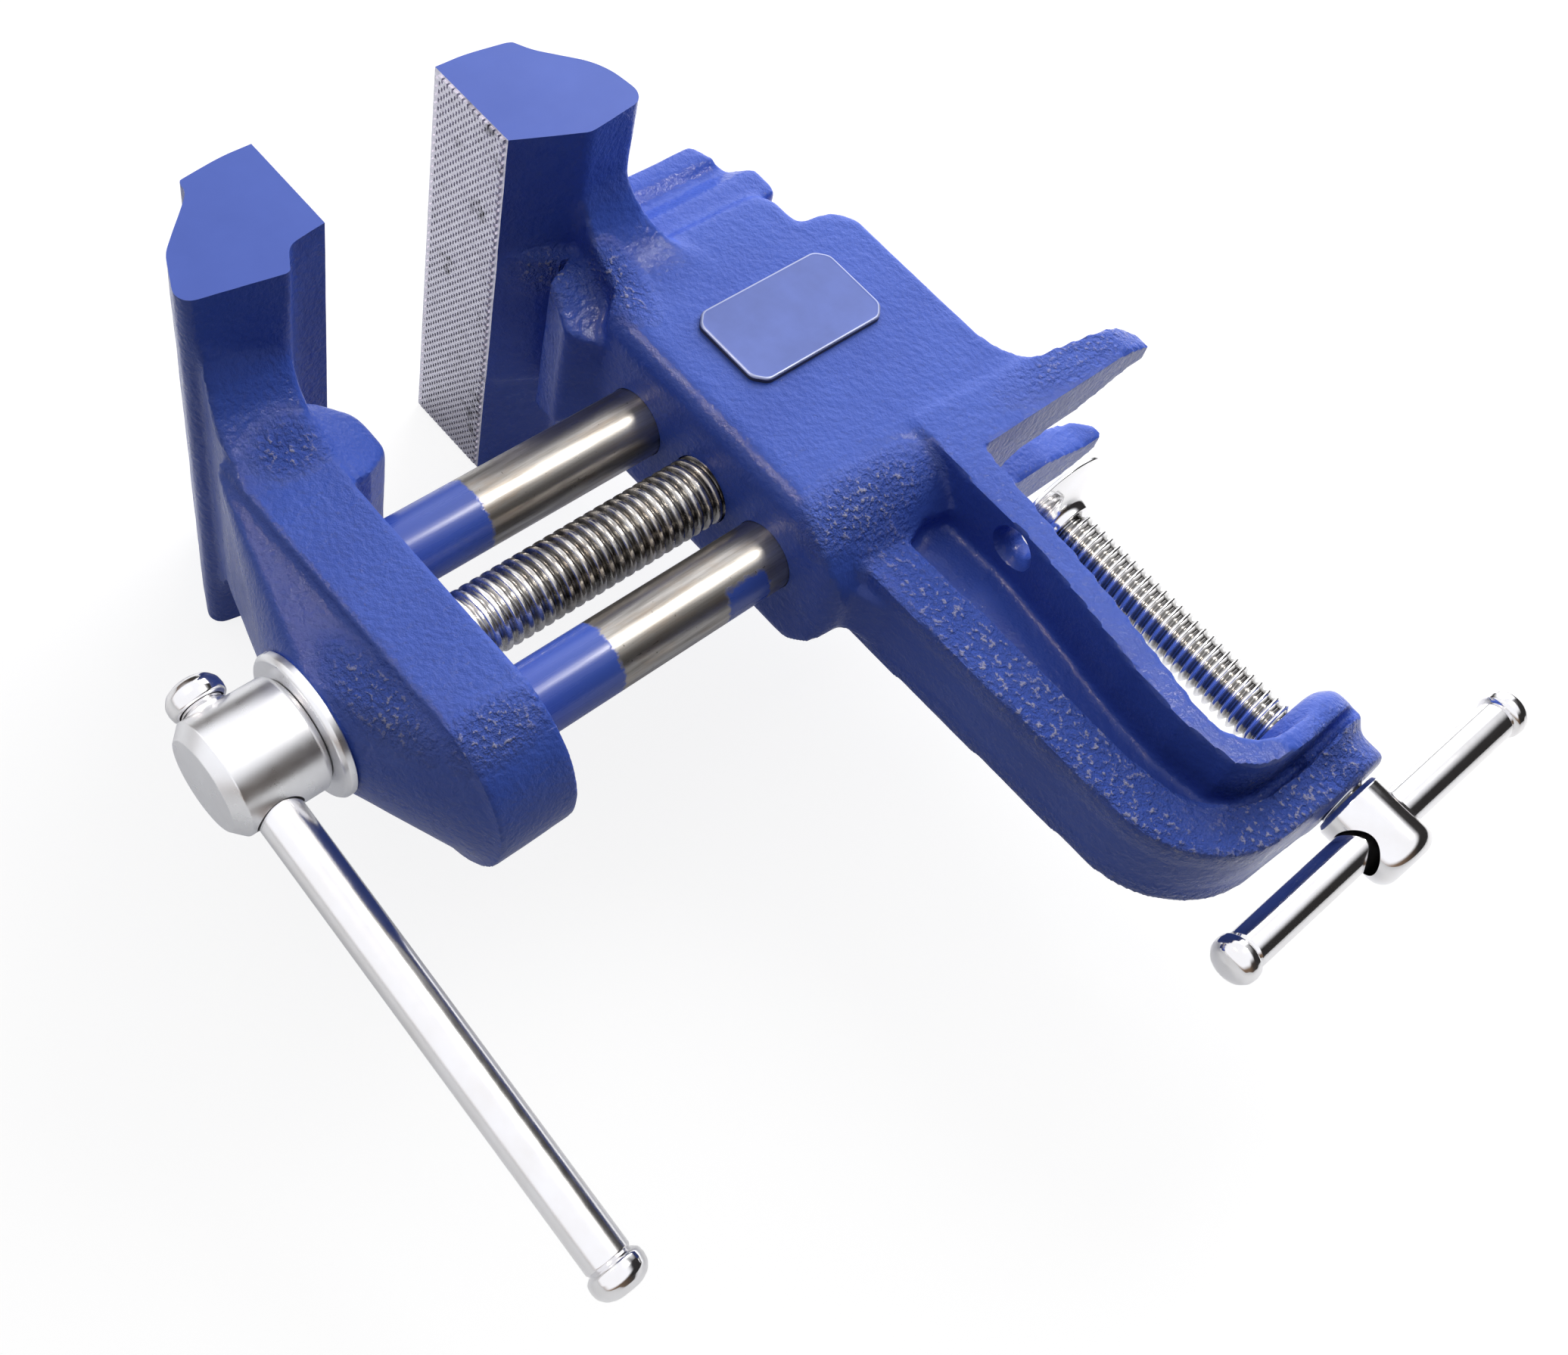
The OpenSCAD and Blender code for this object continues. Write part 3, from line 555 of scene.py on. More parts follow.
def prism_mesh(outline, x0, x1):
    """A bar along X from an outline in Y and Z."""
    bm = bmesh.new()
    ends = [[bm.verts.new((x * MM, y * MM, z * MM)) for y, z in outline] for x in (x0, x1)]
    for k in range(len(outline)):
        j = (k + 1) % len(outline)
        bm.faces.new((ends[0][k], ends[0][j], ends[1][j], ends[1][k]))
    bm.faces.new(ends[0])
    bm.faces.new(ends[1])
    bmesh.ops.recalc_face_normals(bm, faces=bm.faces)
    return as_mesh(bm, "prism")


def gathered(meshes):
    """Several closed meshes as one."""
    bm = bmesh.new()
    for mesh in meshes:
        bm.from_mesh(mesh)
        bpy.data.meshes.remove(mesh)
    return as_mesh(bm, "gathered")


def mill_flat(piece, point, normal, material_index):
    """Cut everything beyond a plane away and close the cut with one flat face."""
    bm = bmesh.new()
    bm.from_mesh(piece.data)
    found = bmesh.ops.bisect_plane(bm, geom=bm.verts[:] + bm.edges[:] + bm.faces[:], dist=1e-7,
                                   plane_co=Vector(point) * MM, plane_no=Vector(normal), clear_outer=True)
    rim = [e for e in found["geom_cut"] if isinstance(e, bmesh.types.BMEdge) and len(e.link_faces) == 1]
    faces = bmesh.ops.edgeloop_fill(bm, edges=rim, mat_nr=material_index)["faces"]
    for face in faces:
        if face.normal.dot(Vector(normal)) < 0:
            face.normal_flip()
    bm.to_mesh(piece.data)
    bm.free()
    piece.data.update()


# %% [markdown]
# The skin of a casting swells and sinks a little all over. A small node tree adds that swell along the
# normals, with its size and height as named inputs.

# %% Node trees
SOCKET_KINDS = {int: "NodeSocketInt", float: "NodeSocketFloat", type(None): "NodeSocketMaterial"}


def new_tree(name, inputs):
    """A node tree with named inputs. None as a default stands for a material."""
    tree = bpy.data.node_groups.new(name, "GeometryNodeTree")
    tree.interface.new_socket("Geometry", in_out="INPUT", socket_type="NodeSocketGeometry")
    for label, value in inputs.items():
        socket = tree.interface.new_socket(label, in_out="INPUT", socket_type=SOCKET_KINDS[type(value)])
        if value is not None:
            socket.default_value = value
    tree.interface.new_socket("Geometry", in_out="OUTPUT", socket_type="NodeSocketGeometry")
    return tree, add(tree, "NodeGroupInput").outputs


def close_tree(tree, geometry, paint=None):
    """End a node tree. With a material, its copies are made real and painted first."""
    if paint is not None:
        real = add(tree, "GeometryNodeRealizeInstances", {"Geometry": geometry}).outputs["Geometry"]
        painted = add(tree, "GeometryNodeSetMaterial", {"Geometry": real, "Material": paint})
        geometry = painted.outputs["Geometry"]
    add(tree, "NodeGroupOutput", {"Geometry": geometry})
    return tree


def moved(tree, geometry, offset):
    return add(tree, "GeometryNodeSetPosition", {"Geometry": geometry, "Offset": offset}).outputs["Geometry"]


def scaled(tree, vector, scale):
    return add(tree, "ShaderNodeVectorMath", {0: vector, "Scale": scale}, operation="SCALE").outputs["Vector"]


def run_tree(piece, tree, values):
    """Run a node tree on a piece with its inputs set, and keep the result as a plain mesh."""
    modifier = piece.modifiers.new(tree.name, "NODES")
    modifier.node_group = tree
    for socket in tree.interface.items_tree:
        if socket.in_out == "INPUT" and socket.name in values:
            modifier[socket.identifier] = values[socket.name]
    keep_evaluated(piece)


def grown_piece(name, tree, values, place):
    """A piece that a node tree makes from nothing, moved to its place."""
    piece = link_mesh(name, bpy.data.meshes.new(name))
    run_tree(piece, tree, values)
    piece.data.transform(place)
    piece.data.update()
    return piece


def make_swell_tree():
    tree, given = new_tree("cast_swell", {"Swell size": 0.006, "Swell height": 0.0002})
    scale = sums(tree, "DIVIDE", 1.0, given["Swell size"])
    wave = add(tree, "ShaderNodeTexNoise", {"Scale": scale, "Detail": 2.0}).outputs["Fac"]
    rise = times(tree, sums(tree, "SUBTRACT", wave, 0.5), given["Swell height"])
    normal = add(tree, "GeometryNodeInputNormal").outputs["Normal"]
    return close_tree(tree, moved(tree, given["Geometry"], scaled(tree, normal, rise)))


swell_tree = make_swell_tree()


def mark_coarse_and_glints(mesh, places, low):
    """Store how coarse the skin is, which also places the pale painted glints: low, or higher near a place,
    which is centre, reach and height.
    """
    co = points_of(mesh) / MM
    amount = np.full(len(co), low)
    for centre, reach, high in places:
        gap = np.linalg.norm((co - np.array(centre)) / np.array(reach), axis=1)
        amount = np.maximum(amount, high * np.clip(1.6 - gap, 0, 1))
    layer = mesh.attributes.new("coarse_skin_and_glints", "FLOAT", "POINT")
    layer.data.foreach_set("value", amount.astype(np.float32))


# %% Steps that both castings share
GRIP_CUT = 0.28
SWELL = {"Swell size": 0.007, "Swell height": 0.00018}


def soften_near(mesh, passes, outer_share, *boxes):
    """Soften only inside some boxes, each of a centre and a half size."""
    soften(mesh, passes, outer_share, 1 - looseness(mesh, [(centre, half, 0.0) for centre, half in boxes]))


def both_sides(outline, inner, outer):
    return [prism_mesh(outline, inner, outer), prism_mesh(outline, -outer, -inner)]


def finish_jaw(piece, grip_y, facing):
    """Let the skin swell, paint it, and mill the jaw's ends and its gripping face flat."""
    run_tree(piece, swell_tree, SWELL)
    keep_below_top(piece.data)
    for material in (enamel, ground_enamel, grip_steel):
        piece.data.materials.append(material)
    for side in (1, -1):
        mill_flat(piece, (side * HALF_JAW, 0, 0), (side, 0, 0), 1)
    mill_flat(piece, (0, grip_y - facing * GRIP_CUT, 0), (0, facing, 0), 2)


# %% [markdown]
# ## The fixed casting
# Jaw, body, forked seat and C-frame are one casting. A rib runs round the C-frame, with a groove along each
# side. After softening, the jaw's ends and the gripping face are milled flat, and the bores for the rods,
# the main screw and the clamp screw are drilled.

# %% Fixed casting
FRAME_VOXEL = 0.48
RIB_HALF, RIB_WEB, PAST_SIDE = 6.5, 3.4, 16
PLUG_R, CLAMP_PLUG_R, LOWER_PLUG_END = ROD_R + 0.5, 4.3, -7
rib = eased([(-31.6, -0.8, 0), (-29.6, -59.5, 19), (0, -60.8, 0)], 16)
rib += [(0, -54.5), (-16, -54.5), (-14, -0.8)]
groove = [
    (-15.6, -2.5), (-15.3, -12.7), (-16.5, -23), (-18.2, -33.5), (-18.9, -42.7), (-17.9, -50.3),
    (-15.5, -52.6), (-11.9, -53.7), (-4, -54.0), (-4, -55.6), (-12.6, -55.3), (-17.4, -53.6),
    (-20.3, -50.6), (-22.2, -47.5), (-23.2, -41), (-23.3, -30), (-23.4, -16), (-23.9, -3), (-20, -1.5)]
run_out = [(-5, -54.0), (9, -53.2), (9, -54.6), (-5, -55.6)]
web_rest = [(-12.4, -54.9), (-15.2, -53.9), (-17.6, -52.6), (-18.5, -55.0), (-15, -57.0), (-12.4, -56.2)]
frame_skin = cast_blank("frame_casting", "frame_skin", [
    rod_mesh(PLUG_R, (0, BODY_FRONT, UPPER_Z), (0, BODY_BACK - 1, UPPER_Z)),
    rod_mesh(PLUG_R, (0, BODY_FRONT, LOWER_Z), (0, LOWER_PLUG_END, LOWER_Z)),
    rod_mesh(PLUG_R, (0, BODY_FRONT, SCREW_Z), (0, BODY_BACK - 1, SCREW_Z)),
    rod_mesh(CLAMP_PLUG_R, (0, 0, ARM_FLOOR), (0, 0, BOSS_TOP)),
    prism_mesh(rib, -RIB_HALF, RIB_HALF),
], FIXED_GRIP_Y, -1, 0.408, FRAME_VOXEL)
cut_away(frame_skin, gathered(both_sides(groove, RIB_WEB, PAST_SIDE)))
cut_away(frame_skin, gathered(both_sides(run_out, RIB_WEB + 1.8, PAST_SIDE)
                              + both_sides(web_rest, RIB_HALF + 0.05, PAST_SIDE)))
to_cubes(frame_skin, FRAME_VOXEL)
soften(frame_skin.data, 6, 0.10, looseness(frame_skin.data, [((0, -38, 51), (14, 5, 8), 0.4)]))
soften_near(frame_skin.data, 22, 0.10, ((0, -20, 51), (34, 9, 13)))
soften_near(frame_skin.data, 12, 0.80, ((0, -2, 46), (16, 8, 7)))
soften_near(frame_skin.data, 14, 0.60, ((6.5, -5, -54.6), (3.6, 4, 2.4)), ((-6.5, -5, -54.6), (3.6, 4, 2.4)))
finish_jaw(frame_skin, FIXED_GRIP_Y, -1)
print("fixed casting milled,", len(frame_skin.data.polygons), "faces")

# %% Bores and the pipe jaw
RIDGES, RIDGE_DEPTH = 4, 0.42
flank_start, vee_root, lip_tip = Vector((-41.7, 57.3)), Vector((-34.4, 52.85)), Vector((-42.0, 50.06))
flank = vee_root - flank_start
inward = Vector((-abs(flank.y), -abs(flank.x))).normalized() * RIDGE_DEPTH
vee = [flank_start]
for k in range(RIDGES):
    at = flank_start + flank * (0.14 + 0.2 * k)
    vee += [at, at + flank * 0.05 + inward, at + flank * 0.10 + inward, at + flank * 0.15]
vee += [vee_root, lip_tip]
ROD_BORE, SCREW_BORE, CLAMP_BORE, PAST_END, LOWER_BORE_END = ROD_R + 0.08, 4.85, 3.85, 3, 22
WOOD_SCREW_X, WOOD_SCREW_Y, WOOD_SCREW_Z = 9.2, -16.9, -12
screw_hole = [(0, 0), (4.1, 0), (2.4, 2.8), (2.4, 9.5), (0, 9.5)]
cut_away(frame_skin, gathered([
    rod_mesh(ROD_BORE, (0, BODY_FRONT - PAST_END, UPPER_Z), (0, BODY_BACK + PAST_END, UPPER_Z)),
    rod_mesh(ROD_BORE, (0, BODY_FRONT - PAST_END, LOWER_Z), (0, LOWER_BORE_END, LOWER_Z)),
    rod_mesh(SCREW_BORE, (0, BODY_FRONT - PAST_END, SCREW_Z), (0, BODY_BACK + PAST_END, SCREW_Z)),
    rod_mesh(CLAMP_BORE, (0, 0, ARM_FLOOR - PAST_END), (0, 0, BOSS_TOP + PAST_END)),
    *[turned_mesh("screw_hole", screw_hole, (x, WOOD_SCREW_Y, WOOD_SCREW_Z), (0, 1, 0), 48)
      for x in (WOOD_SCREW_X, -WOOD_SCREW_X)],
    prism_mesh([tuple(v) for v in vee], -12.6, 12.6),
]))
# Coarse places, which also carry the pale painted glints on the enamel
mark_coarse_and_glints(frame_skin.data, [
    ((7.5, -27, -30), (3.6, 5, 34), 1.0),
    ((-7.5, -27, -30), (3.6, 5, 34), 1.0),
    ((7.5, -10, -57), (3.6, 17, 5), 1.0),
    ((-7.5, -10, -57), (3.6, 17, 5), 1.0),
    ((12, -28, 2.5), (4, 10, 4), 0.95),
    ((13.5, -32.5, 46), (3, 3, 6), 0.9),
    ((10.4, -38, 53), (4, 4, 4), 0.9),
    ((12, 14, 4), (5, 14, 3), 0.7),
], 0.12)
dress(frame_skin, None, "frame", "casting_paint", "frame_casting")

# %% [markdown]
# ## The moving casting
# The sliding jaw is cast the same way. The rods are pressed into it, so its rod bores stay plugged and the
# rods run into the metal.

# %% Moving casting
SLIDE_VOXEL = 0.44
slide_skin = cast_blank("moving_jaw", "slide_skin", [
    rod_mesh(PLUG_R, (0, BAR_FRONT + 1, UPPER_Z), (0, BAR_BACK, UPPER_Z)),
    rod_mesh(PLUG_R, (0, BAR_FRONT + 1, LOWER_Z), (0, BAR_BACK, LOWER_Z)),
    rod_mesh(PLUG_R, (0, BOSS_FRONT, SCREW_Z), (0, BAR_BACK, SCREW_Z)),
], SLIDE_GRIP_Y, 1, 0.143, SLIDE_VOXEL)
soften(slide_skin.data, 6, 0.10)
soften_near(slide_skin.data, 24, 0.7, ((0, -72, 50), (22, 5, 7)))
finish_jaw(slide_skin, SLIDE_GRIP_Y, 1)
# Coarse places, which also carry the pale painted glints on the enamel
mark_coarse_and_glints(slide_skin.data, [
    ((10.3, -91.6, 14), (3, 3, 8), 0.9),
    ((13.3, -81, 46), (4, 4, 3), 0.9),
    ((12.3, -84, 3.5), (4, 6, 3), 0.9),
], 0.18)
dress(slide_skin, None, "jaw_slide", "casting_paint", "moving_jaw")


# %% [markdown]
# ## Serrations on the gripping faces
# Each gripping face is a field of flat-topped teeth, set like bricks, with a small pit at the end of each.
# One tooth is repeated by a node tree on a grid of points, which keeps its size and pitch as inputs.

# %% Serrations
PITCH_ACROSS, PITCH_UP = 0.66, 1.0
TOOTH_TOP, TOOTH_FOOT, TOOTH_LENGTH = 0.70, 0.74, 0.70
EDGE_ACROSS, EDGE_UP = 0.6, 0.4


def make_tooth_tree():
    tree, given = new_tree("grip_teeth", {
        "Columns": 100, "Rows": 16, "Pitch across": 0.0006, "Pitch up": 0.0009, "Tooth height": 0.00028,
        "Finish": None})
    wide = times(tree, sums(tree, "SUBTRACT", given["Columns"], 1.0), given["Pitch across"])
    high = times(tree, sums(tree, "SUBTRACT", given["Rows"], 1.0), given["Pitch up"])
    grid = add(tree, "GeometryNodeMeshGrid", {
        "Vertices X": given["Columns"], "Vertices Y": given["Rows"], "Size X": wide, "Size Y": high})
    x = axis_of(tree, add(tree, "GeometryNodeInputPosition").outputs["Position"], "X")
    column = sums(tree, "DIVIDE", sums(tree, "ADD", x, times(tree, wide, 0.5)), given["Pitch across"])
    odd = sums(tree, "PINGPONG", sums(tree, "ROUND", column), 1.0)
    step = times(tree, sums(tree, "SUBTRACT", odd, 0.5), times(tree, given["Pitch up"], 0.5))
    upward = add(tree, "ShaderNodeCombineXYZ", {"Y": step}).outputs["Vector"]
    tooth = add(tree, "GeometryNodeMeshCone", {
        "Vertices": 4, "Radius Top": TOOTH_TOP, "Radius Bottom": TOOTH_FOOT, "Depth": 1.0})
    turn = add(tree, "GeometryNodeTransform", {
        "Geometry": tooth.outputs["Mesh"], "Rotation": (0, 0, math.pi / 4)})
    size = add(tree, "ShaderNodeCombineXYZ", {
        "X": given["Pitch across"], "Y": times(tree, given["Pitch up"], TOOTH_LENGTH),
        "Z": given["Tooth height"]})
    copies = add(tree, "GeometryNodeInstanceOnPoints", {
        "Points": moved(tree, grid.outputs["Mesh"], upward), "Instance": turn.outputs["Geometry"],
        "Scale": size.outputs["Vector"]})
    return close_tree(tree, copies.outputs["Instances"], given["Finish"])


tooth_tree = make_tooth_tree()


def grip_teeth(name, grip_y, facing, body):
    stand = Matrix.Rotation(math.pi / 2 if facing < 0 else -math.pi / 2, 4, "X")
    middle = Vector((0, grip_y - facing * GRIP_CUT, JAW_TOP - GRIP_H / 2)) * MM
    piece = grown_piece(name, tooth_tree, {
        "Columns": int((2 * HALF_JAW - EDGE_ACROSS) / PITCH_ACROSS),
        "Rows": int((GRIP_H - EDGE_UP) / PITCH_UP),
        "Pitch across": PITCH_ACROSS * MM, "Pitch up": PITCH_UP * MM,
        "Tooth height": GRIP_CUT * MM, "Finish": grip_steel}, Matrix.Translation(middle) @ stand)
    dress(piece, grip_steel, body, "guide_steel", sharp=20)


grip_teeth("fixed_grip_teeth", FIXED_GRIP_Y, -1, "frame")
grip_teeth("slide_grip_teeth", SLIDE_GRIP_Y, 1, "jaw_slide")


# %% [markdown]
# ## Screw threads
# A thread is a cylinder whose radius rises and falls as it winds. The node tree below makes a fine
# cylinder and moves each point in or out by where it lies between two turns, so that pitch, depth and the
# shape of the flanks are plain inputs.

# %% Threads
TIP_TAPER, ROWS_A_TURN = 0.001, 12


def make_thread_tree():
    tree, given = new_tree("screw_thread", {
        "Radius": 0.005, "Length": 0.05, "Pitch": 0.0015, "Depth": 0.0006, "Crest": 0.3, "Root": 0.7,
        "Run-out": 0.0, "Start depth": 1.0, "Sides": 72, "Rows": 400, "Finish": None})
    tube = add(tree, "GeometryNodeMeshCylinder", {
        "Vertices": given["Sides"], "Side Segments": given["Rows"], "Radius": given["Radius"],
        "Depth": given["Length"]})
    place = add(tree, "GeometryNodeInputPosition").outputs["Position"]
    x, y, z = (axis_of(tree, place, axis) for axis in "XYZ")
    angle = sums(tree, "DIVIDE", sums(tree, "ARCTAN2", y, x), 2 * math.pi)
    turns = sums(tree, "SUBTRACT", sums(tree, "DIVIDE", z, given["Pitch"]), angle)
    from_crest = times(tree, sums(tree, "PINGPONG", turns, 0.5), 2.0)
    valley = ramp(tree, from_crest, given["Crest"], given["Root"], smooth=True)
    half = times(tree, given["Length"], 0.5)
    fade = ramp(tree, sums(tree, "ADD", z, half), 0.0, given["Run-out"], given["Start depth"], smooth=True)
    depth = times(tree, times(tree, given["Depth"], valley), fade)
    tip = sums(tree, "SUBTRACT", sums(tree, "ADD", z, TIP_TAPER), half)
    depth = sums(tree, "MAXIMUM", depth, tip)
    outward = add(tree, "ShaderNodeCombineXYZ", {"X": x, "Y": y}).outputs["Vector"]
    away = add(tree, "ShaderNodeVectorMath", {0: outward}, operation="NORMALIZE").outputs["Vector"]
    thread = moved(tree, tube.outputs["Mesh"], scaled(tree, away, times(tree, depth, -1.0)))
    return close_tree(tree, thread, given["Finish"])


thread_tree = make_thread_tree()


def thread_piece(name, start, end, material, radius, pitch, depth, crest, root, run_out=0.0, start_depth=1.0):
    start, end = Vector(start), Vector(end)
    length = (end - start).length
    stand = Vector((0, 0, 1)).rotation_difference(end - start).to_matrix().to_4x4()
    return grown_piece(name, thread_tree, {
        "Radius": radius * MM, "Length": length * MM, "Pitch": pitch * MM, "Depth": depth * MM,
        "Crest": crest, "Root": root, "Run-out": run_out * MM, "Start depth": start_depth,
        "Rows": int(length / pitch * ROWS_A_TURN), "Finish": material,
    }, Matrix.Translation((start + end) / 2 * MM) @ stand)


MAIN_R, MAIN_PITCH, SCREW_TIP = 4.75, 1.5875, 1.8
main_thread = thread_piece(
    "main_screw_thread", (0, BAR_BACK - 6, SCREW_Z), (0, SCREW_TIP, SCREW_Z), screw_steel,
    MAIN_R, MAIN_PITCH, depth=0.72, crest=0.30, root=0.86, run_out=14.0, start_depth=0.35)
dress(main_thread, screw_steel, "main_spindle", "screw_steel", sharp=75)

# %% [markdown]
# ## Heads, bars and knobs
# Each screw ends in a turned head with a cross hole, and a loose bar slides in it. The bar's knobs keep it
# from falling out. Heads and knobs get their roundings from the profile, and the cross holes are cut.

# %% Main screw head
HEAD_FRONT, HEAD_R, PAST_HEAD = -109.65, 7.4, 12
BAR_Y, BAR_R, BAR_PLAY, BAR_TURN = -104.55, 2.85, 0.22, math.radians(10)
bar_axis = Vector((-math.sin(BAR_TURN), 0, -math.cos(BAR_TURN)))
head_profile = eased([
    (0, 0.01, 0), (HEAD_R - 1.5, 0.01, 0.3), (HEAD_R, 1.5, 0.3), (HEAD_R, 11.6, 0.7),
    (HEAD_R - 0.9, 12.4, 0.3), (5.2, 12.4, 0), (MAIN_R, 12.9, 0), (MAIN_R, 27, 0), (0, 27, 0)])
main_head = turned_piece("main_screw_head", head_profile, (0, HEAD_FRONT, SCREW_Z), (0, 1, 0), 128)
hole_middle = Vector((0, BAR_Y, SCREW_Z))
reach = bar_axis * PAST_HEAD
cut_away(main_head, rod_mesh(BAR_R + BAR_PLAY, hole_middle - reach, hole_middle + reach))
dress(main_head, zinc, "main_spindle", "plated_steel", "main_screw")

# %% Main handle
BAR_NEAR, BAR_FAR, MAIN_KNOB_R = -7.8, 67.9, 3.5


def handle_bar(name, middle, axis, near, far, radius, material, body, node):
    length = far - near
    profile = eased([(0, 0, 0), (radius - 0.35, 0, 0), (radius, 0.5, 0.3), (radius, length - 0.5, 0.3),
                     (radius - 0.35, length, 0), (0, length, 0)])
    piece = turned_piece(name, profile, middle + axis * near, axis)
    dress(piece, material, body, "plated_steel", node)


def handle_knob(name, base, axis, radius, body, node):
    profile = eased([
        (0, -0.1, 0), (radius - 0.7, -0.1, 0), (radius - 0.12, 0.35, 0.5), (radius, 1.2, 1.2),
        (radius - 0.1, 2.1, 1.2), (radius - 0.75, 3.0, 1.4), (radius - 1.9, 3.52, 1.8), (0, 3.62, 0)], 6)
    dress(turned_piece(name, profile, base, axis), plating, body, "plated_steel", node)


handle_bar("main_bar", hole_middle, bar_axis, BAR_NEAR, BAR_FAR, BAR_R, bar_plating,
           "main_handle", "main_handle_bar")
for end, at, way in (("near", BAR_NEAR, -1), ("far", BAR_FAR, 1)):
    handle_knob("main_knob_" + end, hole_middle + bar_axis * at, bar_axis * way, MAIN_KNOB_R,
                "main_handle", "main_handle_knob_" + end)

# %% Clamp screw and handle
CLAMP_R, CLAMP_PITCH = 3.75, 1.411
CLAMP_HEAD_TOP, CLAMP_HEAD_FLOOR, CLAMP_HEAD_R, PAST_CLAMP_HEAD = -61.4, -72.4, 4.9, 8
CLAMP_BAR_Z, CLAMP_BAR_R, CLAMP_BAR_PLAY, CLAMP_BAR_TURN = -66.4, 2.7, 0.55, math.radians(4)
CLAMP_BAR_HALF, CLAMP_KNOB_R = 25.75, 3.3
clamp_axis = Vector((math.sin(CLAMP_BAR_TURN), math.cos(CLAMP_BAR_TURN), 0))
clamp_thread = thread_piece(
    "clamp_screw_thread", (0, 0, CLAMP_HEAD_TOP - 0.5), (0, 0, -11.7), thread_plating,
    CLAMP_R, CLAMP_PITCH, depth=0.82, crest=0.10, root=0.92)
dress(clamp_thread, thread_plating, "clamp_spindle", "plated_steel", sharp=75)
tip_profile = eased([(0, -12.2, 0), (2.6, -12.2, 0), (2.6, -9.3, 0.3), (0, -9.3, 0)])
tip = turned_piece("clamp_screw_tip", tip_profile, (0, 0, 0), (0, 0, 1), 64)
dress(tip, plating, "clamp_spindle", "plated_steel")
clamp_head_profile = eased([
    (0, 0, 0), (CLAMP_HEAD_R, 0, 2.4), (CLAMP_HEAD_R, 10.4, 0.5), (CLAMP_HEAD_R - 0.5, 11.0, 0.2),
    (0, 11.0, 0)], 10)
clamp_head = turned_piece("clamp_screw_head", clamp_head_profile, (0, 0, CLAMP_HEAD_FLOOR), (0, 0, 1), 128)
clamp_middle = Vector((0, 0, CLAMP_BAR_Z))
loose_middle = clamp_middle + Vector((0.3, 0, -0.45))
reach = clamp_axis * PAST_CLAMP_HEAD
cut_away(clamp_head, rod_mesh(CLAMP_BAR_R + CLAMP_BAR_PLAY, loose_middle - reach, loose_middle + reach))
dress(clamp_head, plating, "clamp_spindle", "plated_steel", "clamp_screw")
handle_bar("clamp_bar", clamp_middle, clamp_axis, -CLAMP_BAR_HALF, CLAMP_BAR_HALF, CLAMP_BAR_R, plating,
           "clamp_handle", "clamp_handle_bar")
for end, way in (("front", -1), ("back", 1)):
    handle_knob("clamp_knob_" + end, clamp_middle + clamp_axis * (way * CLAMP_BAR_HALF), clamp_axis * way,
                CLAMP_KNOB_R, "clamp_handle", "clamp_handle_knob_" + end)

# %% [markdown]
# ## Pad, washer and rods
# The pad is a thin flared dish that flows into a hub. The washer is stamped, with one round and one sharp
# edge. The rods are plain ground steel with a small chamfer. The retaining pin keeps its solid's shape.

# %% Pad, washer and rods
WASHER_T, ROD_LENGTH = 1.5, 89.5
pad_profile = eased([
    (0, -8.0, 0), (9.7, -8.0, 0), (10.3, -8.15, 0.12), (10.3, -8.6, 0.2), (9.2, -8.95, 1.5), (6.0, -9.6, 5.0),
    (4.5, -10.6, 1.6), (4.3, -11.6, 0.25), (2.7, -11.6, 0), (2.7, -9.1, 0), (0, -9.1, 0)], 8)
pad = turned_piece("pad_dish", pad_profile, (0, 0, 0), (0, 0, 1), 128)
dress(pad, plating, "clamp_slide", "plated_steel", "clamp_pad")

washer_profile = eased([
    (5.1, 0, 0), (9.0, 0, 0.5), (9.4, 0.55, 0.35), (9.4, 1.35, 0.12), (9.1, WASHER_T, 0), (5.1, WASHER_T, 0),
    (5.1, 0, 0)])[:-1]
washer_front = (0, BOSS_FRONT - WASHER_T, SCREW_Z)
washer = turned_piece("washer_ring", washer_profile, washer_front, (0, 1, 0), 128, closed=True)
dress(washer, zinc, "jaw_slide", "plated_steel", "thrust_washer")

rod_profile = eased([
    (0, 0, 0), (ROD_R, 0, 0), (ROD_R, ROD_LENGTH - 0.9, 0.3), (ROD_R - 0.8, ROD_LENGTH, 0.3),
    (0, ROD_LENGTH, 0)])
for name, node, z in (("upper_rod", "upper_guide_rod", UPPER_Z), ("lower_rod", "lower_guide_rod", LOWER_Z)):
    rod = turned_piece(name, rod_profile, (0, BAR_FRONT + 1.5, z), (0, 1, 0), 96)
    dress(rod, guide_steel, "jaw_slide", "guide_steel", node)

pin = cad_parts["screw_retaining_pin"]
pin.data.materials.clear()
pin.data.materials.append(guide_steel)


# %% [markdown]
# ## The name plate
# A thin tinted plate with cut corners is stuck to the side of the body. It is left bare. A raised pale line
# runs round its edge, and its sides are painted dark as shade, darker than its face.

# %% Name plate
def make_plate_finish(name, colour, low, high, metallic):
    material, tree, surface, place = finish(name)
    brushed = noise(tree, object_place(tree, (1, 0.05, 1)), 0.5, 4)
    cloud = ramp(tree, noise(tree, place, 5, 4), 0.35, 0.7)
    give(tree, surface, {
        "Base Color": blend(tree, cloud, colour, tuple(c * 0.85 for c in colour)),
        "Metallic": metallic, "Roughness": ramp(tree, brushed, 0.3, 0.7, low, high),
        "Normal": bump(tree, brushed, 0.012, 0.5)})
    return material


plate_face = make_plate_finish("plate_face", (0.075, 0.122, 0.42), 0.34, 0.46, 0.1)
plate_line = make_plate_finish("plate_line", (0.34, 0.38, 0.58), 0.34, 0.48, 0.5)
